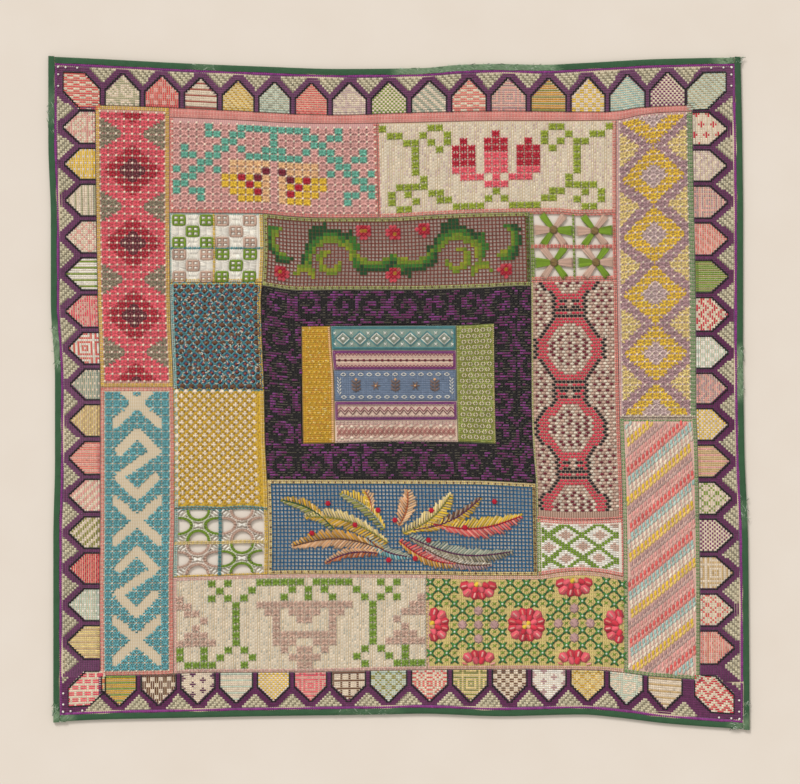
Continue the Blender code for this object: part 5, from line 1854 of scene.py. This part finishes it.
def ribbon(side):
    """One length of silk ribbon folded round the canvas edge, worn in places."""
    across = ((BINDING_WIDTH - 0.1, 0.3), (2.2, 0.28), (0.7, 0.32), (0.28, 0.8), (0.25, 1.4), (0.35, 2.0),
              (0.8, BINDING_TOP - 0.28), (1.7, BINDING_TOP - 0.2), (2.8, BINDING_TOP - 0.24),
              (BINDING_WIDTH - 0.1, BINDING_TOP - 0.34))
    stations = 260
    bm = bmesh.new()
    bmesh.ops.create_grid(bm, x_segments=stations, y_segments=len(across) - 1, size=0.5)
    grid = np.array([vert.co[:2] for vert in bm.verts]) + 0.5
    along, step = grid[:, 0], np.rint(grid[:, 1] * (len(across) - 1)).astype(int)
    inset, height = np.array(across)[step].T
    ribbon_length = 400
    run = along * ribbon_length
    top = step > 5
    crimp = 0.1 * np.sin(run / 1.9 + 2 * np.sin(run / 13)) + 0.08 * np.sin(run / 0.9)
    ragged = 0.25 * np.sin(run / 3.1) * np.sin(run / 7.7 + 1) * (inset > 3)
    x, y = ribbon_point(side, along, inset + ragged)
    for vert, *spot in zip(bm.verts, x, y, height + crimp * top):
        vert.co = spot
    bmesh.ops.solidify(bm, geom=bm.faces[:], thickness=RIBBON * 0.6)
    node = f"binding_{side}"
    piece = own(solid(f"{node}_ribbon", bm, FINISHES["ribbon"]), node)
    points = np.array([vert.co for vert in piece.data.vertices]) / MM
    axis = points[:, 1] if side in ("left", "right") else points[:, 0]
    share = (axis - axis.min()) / np.ptp(axis)
    worn = np.zeros(len(points))
    for start, stop, depth in RIBBON_WEAR[side]:
        worn = np.maximum(worn, depth * np.clip(np.minimum(share - start, stop - share) * 60 + 0.4, 0, 1))
    grain = np.sin(points[:, 0] * 1.7 + points[:, 1] * 2.3) * np.sin(points[:, 0] * 0.6 - points[:, 1] * 0.9)
    worn = np.clip(worn * (0.75 + 0.4 * grain), 0, 1)[:, None]
    shades = tint("ribbon_green") * (1 - worn) + tint("worn_green") * worn
    layer = piece.data.attributes.new("thread", "FLOAT_COLOR", "POINT")
    layer.data.foreach_set("color", np.hstack((shades, np.ones((len(shades), 1)))).astype(np.float32).ravel())
    frays = fray(side, node)
    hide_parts(node)


class RibbonSide(BorderSide):
    """One side of the ribbon, for the threads that lie on it."""

    def rise(self, s, t):
        return BINDING_TOP - 0.3 + 0 * s


def fray(side, node):
    """Loose threads where the ribbon is worn or cut."""
    part = RibbonSide(side)
    part.chance = np.random.default_rng(len(side) * 11)
    near, far = ("outer_bottom", "outer_top") if part.upright else ("outer_left", "outer_right")
    low, high = SEAMS[near](0), SEAMS[far](0)
    for start, stop, depth in RIBBON_WEAR[side]:
        count = int(20 + 500 * (stop - start) * depth)
        s = low + (high - low) * (start + (stop - start) * part.chance.random(count))
        t = BORDER_DEPTH + 0.6 + 3.6 * part.chance.random(count)
        turn = part.chance.normal(0, 0.5, count)
        length = 1.2 + 2.4 * part.chance.random(count)
        tone = part.chance.integers(0, 3, count)
        shades = tint("worn_green", "pale_mint", "deep_green")[tone]
        part.level(s, t, length, 0.28, 0.3, shades, turn=turn)
    return own(joined(f"{node}_frays", part.laid, finish_of("silk")), node)


def binding():
    FINISHES["ribbon"] = ribbon_finish()
    for side in ("left", "right", "bottom", "top"):
        ribbon(side)


def stage():
    """The pale board, a soft light from the upper left and the camera straight above."""
    bm = bmesh.new()
    bmesh.ops.create_grid(bm, x_segments=8, y_segments=8, size=2.0)
    bmesh.ops.translate(bm, vec=(0, 0, -0.05 * MM), verts=bm.verts)
    mesh = bpy.data.meshes.new("board")
    bm.to_mesh(mesh)
    bm.free()
    mesh.materials.append(board_finish())
    board = bpy.data.objects.new("board", mesh)
    scene = bpy.context.scene
    scene.collection.objects.link(board)
    scene.view_settings.view_transform = "Standard"
    world = bpy.data.worlds.new("studio")
    world.use_nodes = True
    room_light, room_tone = 0.62, (1.0, 0.99, 0.975, 1)
    sun_strength, sun_spread, sun_turn = 1.75, 18, (-42, -28)
    world.node_tree.nodes["Background"].inputs["Color"].default_value = room_tone
    world.node_tree.nodes["Background"].inputs["Strength"].default_value = room_light
    scene.world = world
    lamp = bpy.data.lights.new("window", "SUN")
    lamp.energy = sun_strength
    lamp.angle = math.radians(sun_spread)
    light = bpy.data.objects.new("window", lamp)
    light.rotation_euler = (*map(math.radians, sun_turn), 0)
    scene.collection.objects.link(light)
    height, sensor = 1.5, 36.0
    lens = bpy.data.cameras.new("camera")
    lens.sensor_width = sensor
    lens.lens = sensor * height / scene.sampler_sizes.frame_wide
    camera = bpy.data.objects.new("camera", lens)
    off_middle = 0.6 * MM
    camera.location = (off_middle, off_middle, height)
    scene.collection.objects.link(camera)
    scene.camera = camera


class SAMPLER_OT_border(bpy.types.Operator):
    """Lay the canvas border, its arches, zigzag and corner petals"""

    bl_idname = "sampler.border"
    bl_label = "Border"

    def execute(self, context):
        border()
        return {"FINISHED"}


class SAMPLER_OT_binding(bpy.types.Operator):
    """Fold the green silk ribbon round the edge"""

    bl_idname = "sampler.binding"
    bl_label = "Ribbon binding"

    def execute(self, context):
        binding()
        return {"FINISHED"}


class SAMPLER_OT_star_cloths(bpy.types.Operator):
    """Work the cloths counted in star stitch"""

    bl_idname = "sampler.star_cloths"
    bl_label = "Star stitch cloths"

    def execute(self, context):
        for make in (rose_medallions, pink_garland, linen_buds, beige_garland):
            make()
        return {"FINISHED"}


class SAMPLER_OT_cross_cloths(bpy.types.Operator):
    """Work the cloths in cross stitch, slanted stitch and rosettes"""

    bl_idname = "sampler.cross_cloths"
    bl_label = "Cross stitch cloths"

    def execute(self, context):
        for make in (teal_key, coral_tape, yellow_lattice, slant_stripes, rosettes):
            make()
        return {"FINISHED"}


class SAMPLER_OT_drawn_work(bpy.types.Operator):
    """Draw and bind the openwork cloths"""

    bl_idname = "sampler.drawn_work"
    bl_label = "Drawn work"

    def execute(self, context):
        for make in (drawn_blocks, wheels, arch_openwork, diamond_openwork):
            make()
        return {"FINISHED"}


class SAMPLER_OT_nets(bpy.types.Operator):
    """Knot and darn the nets"""

    bl_idname = "sampler.nets"
    bl_label = "Darned nets"

    def execute(self, context):
        for make in (leaf_net, feather_net, dark_net):
            make()
        return {"FINISHED"}


class SAMPLER_OT_small_repeats(bpy.types.Operator):
    """Work the knots, the ochre lattice and the strapwork"""

    bl_idname = "sampler.small_repeats"
    bl_label = "Small repeats"

    def execute(self, context):
        for make in (blue_knots, ochre_lattice, strap_octagons):
            make()
        return {"FINISHED"}


class SAMPLER_OT_middle_block(bpy.types.Operator):
    """Work the silk strips and bands of the middle block"""

    bl_idname = "sampler.middle_block"
    bl_label = "Middle block"

    def execute(self, context):
        for make in (gold_strip, green_strip, teal_band, purple_band, blue_band, zigzag_band, rose_band):
            make()
        return {"FINISHED"}


class SAMPLER_OT_stage(bpy.types.Operator):
    """Set the board, the light and the camera"""

    bl_idname = "sampler.stage"
    bl_label = "Stage"

    def execute(self, context):
        stage()
        return {"FINISHED"}


OPERATORS = (SAMPLER_OT_border, SAMPLER_OT_binding, SAMPLER_OT_star_cloths, SAMPLER_OT_cross_cloths,
             SAMPLER_OT_drawn_work, SAMPLER_OT_nets, SAMPLER_OT_small_repeats, SAMPLER_OT_middle_block,
             SAMPLER_OT_stage)


class SAMPLER_PT_panel(bpy.types.Panel):
    """Shows the sampler's sizes, its operators and its thread colours"""

    bl_idname = "SAMPLER_PT_panel"
    bl_label = "Needlework sampler"
    bl_space_type = "VIEW_3D"
    bl_region_type = "UI"
    bl_category = "Sampler"

    def draw(self, context):
        sizes, threads = context.scene.sampler_sizes, context.scene.sampler_threads
        for name in SamplerSizes.__annotations__:
            self.layout.prop(sizes, name)
        for operator in OPERATORS:
            self.layout.operator(operator.bl_idname)
        for name in ThreadColours.__annotations__:
            self.layout.prop(threads, name)


CLASSES = (ThreadColours, SamplerSizes, *OPERATORS, SAMPLER_PT_panel)


def register():
    for cls in CLASSES:
        bpy.utils.register_class(cls)
    bpy.types.Scene.sampler_threads = bpy.props.PointerProperty(type=ThreadColours)
    bpy.types.Scene.sampler_sizes = bpy.props.PointerProperty(type=SamplerSizes)


def unregister():
    del bpy.types.Scene.sampler_sizes
    del bpy.types.Scene.sampler_threads
    for cls in reversed(CLASSES):
        bpy.utils.unregister_class(cls)


def main():
    register()
    bpy.ops.sampler.stage()
    bpy.ops.sampler.border()
    bpy.ops.sampler.binding()
    bpy.ops.sampler.star_cloths()
    bpy.ops.sampler.cross_cloths()
    bpy.ops.sampler.drawn_work()
    bpy.ops.sampler.nets()
    bpy.ops.sampler.small_repeats()
    bpy.ops.sampler.middle_block()


if __name__ == "__main__":
    main()
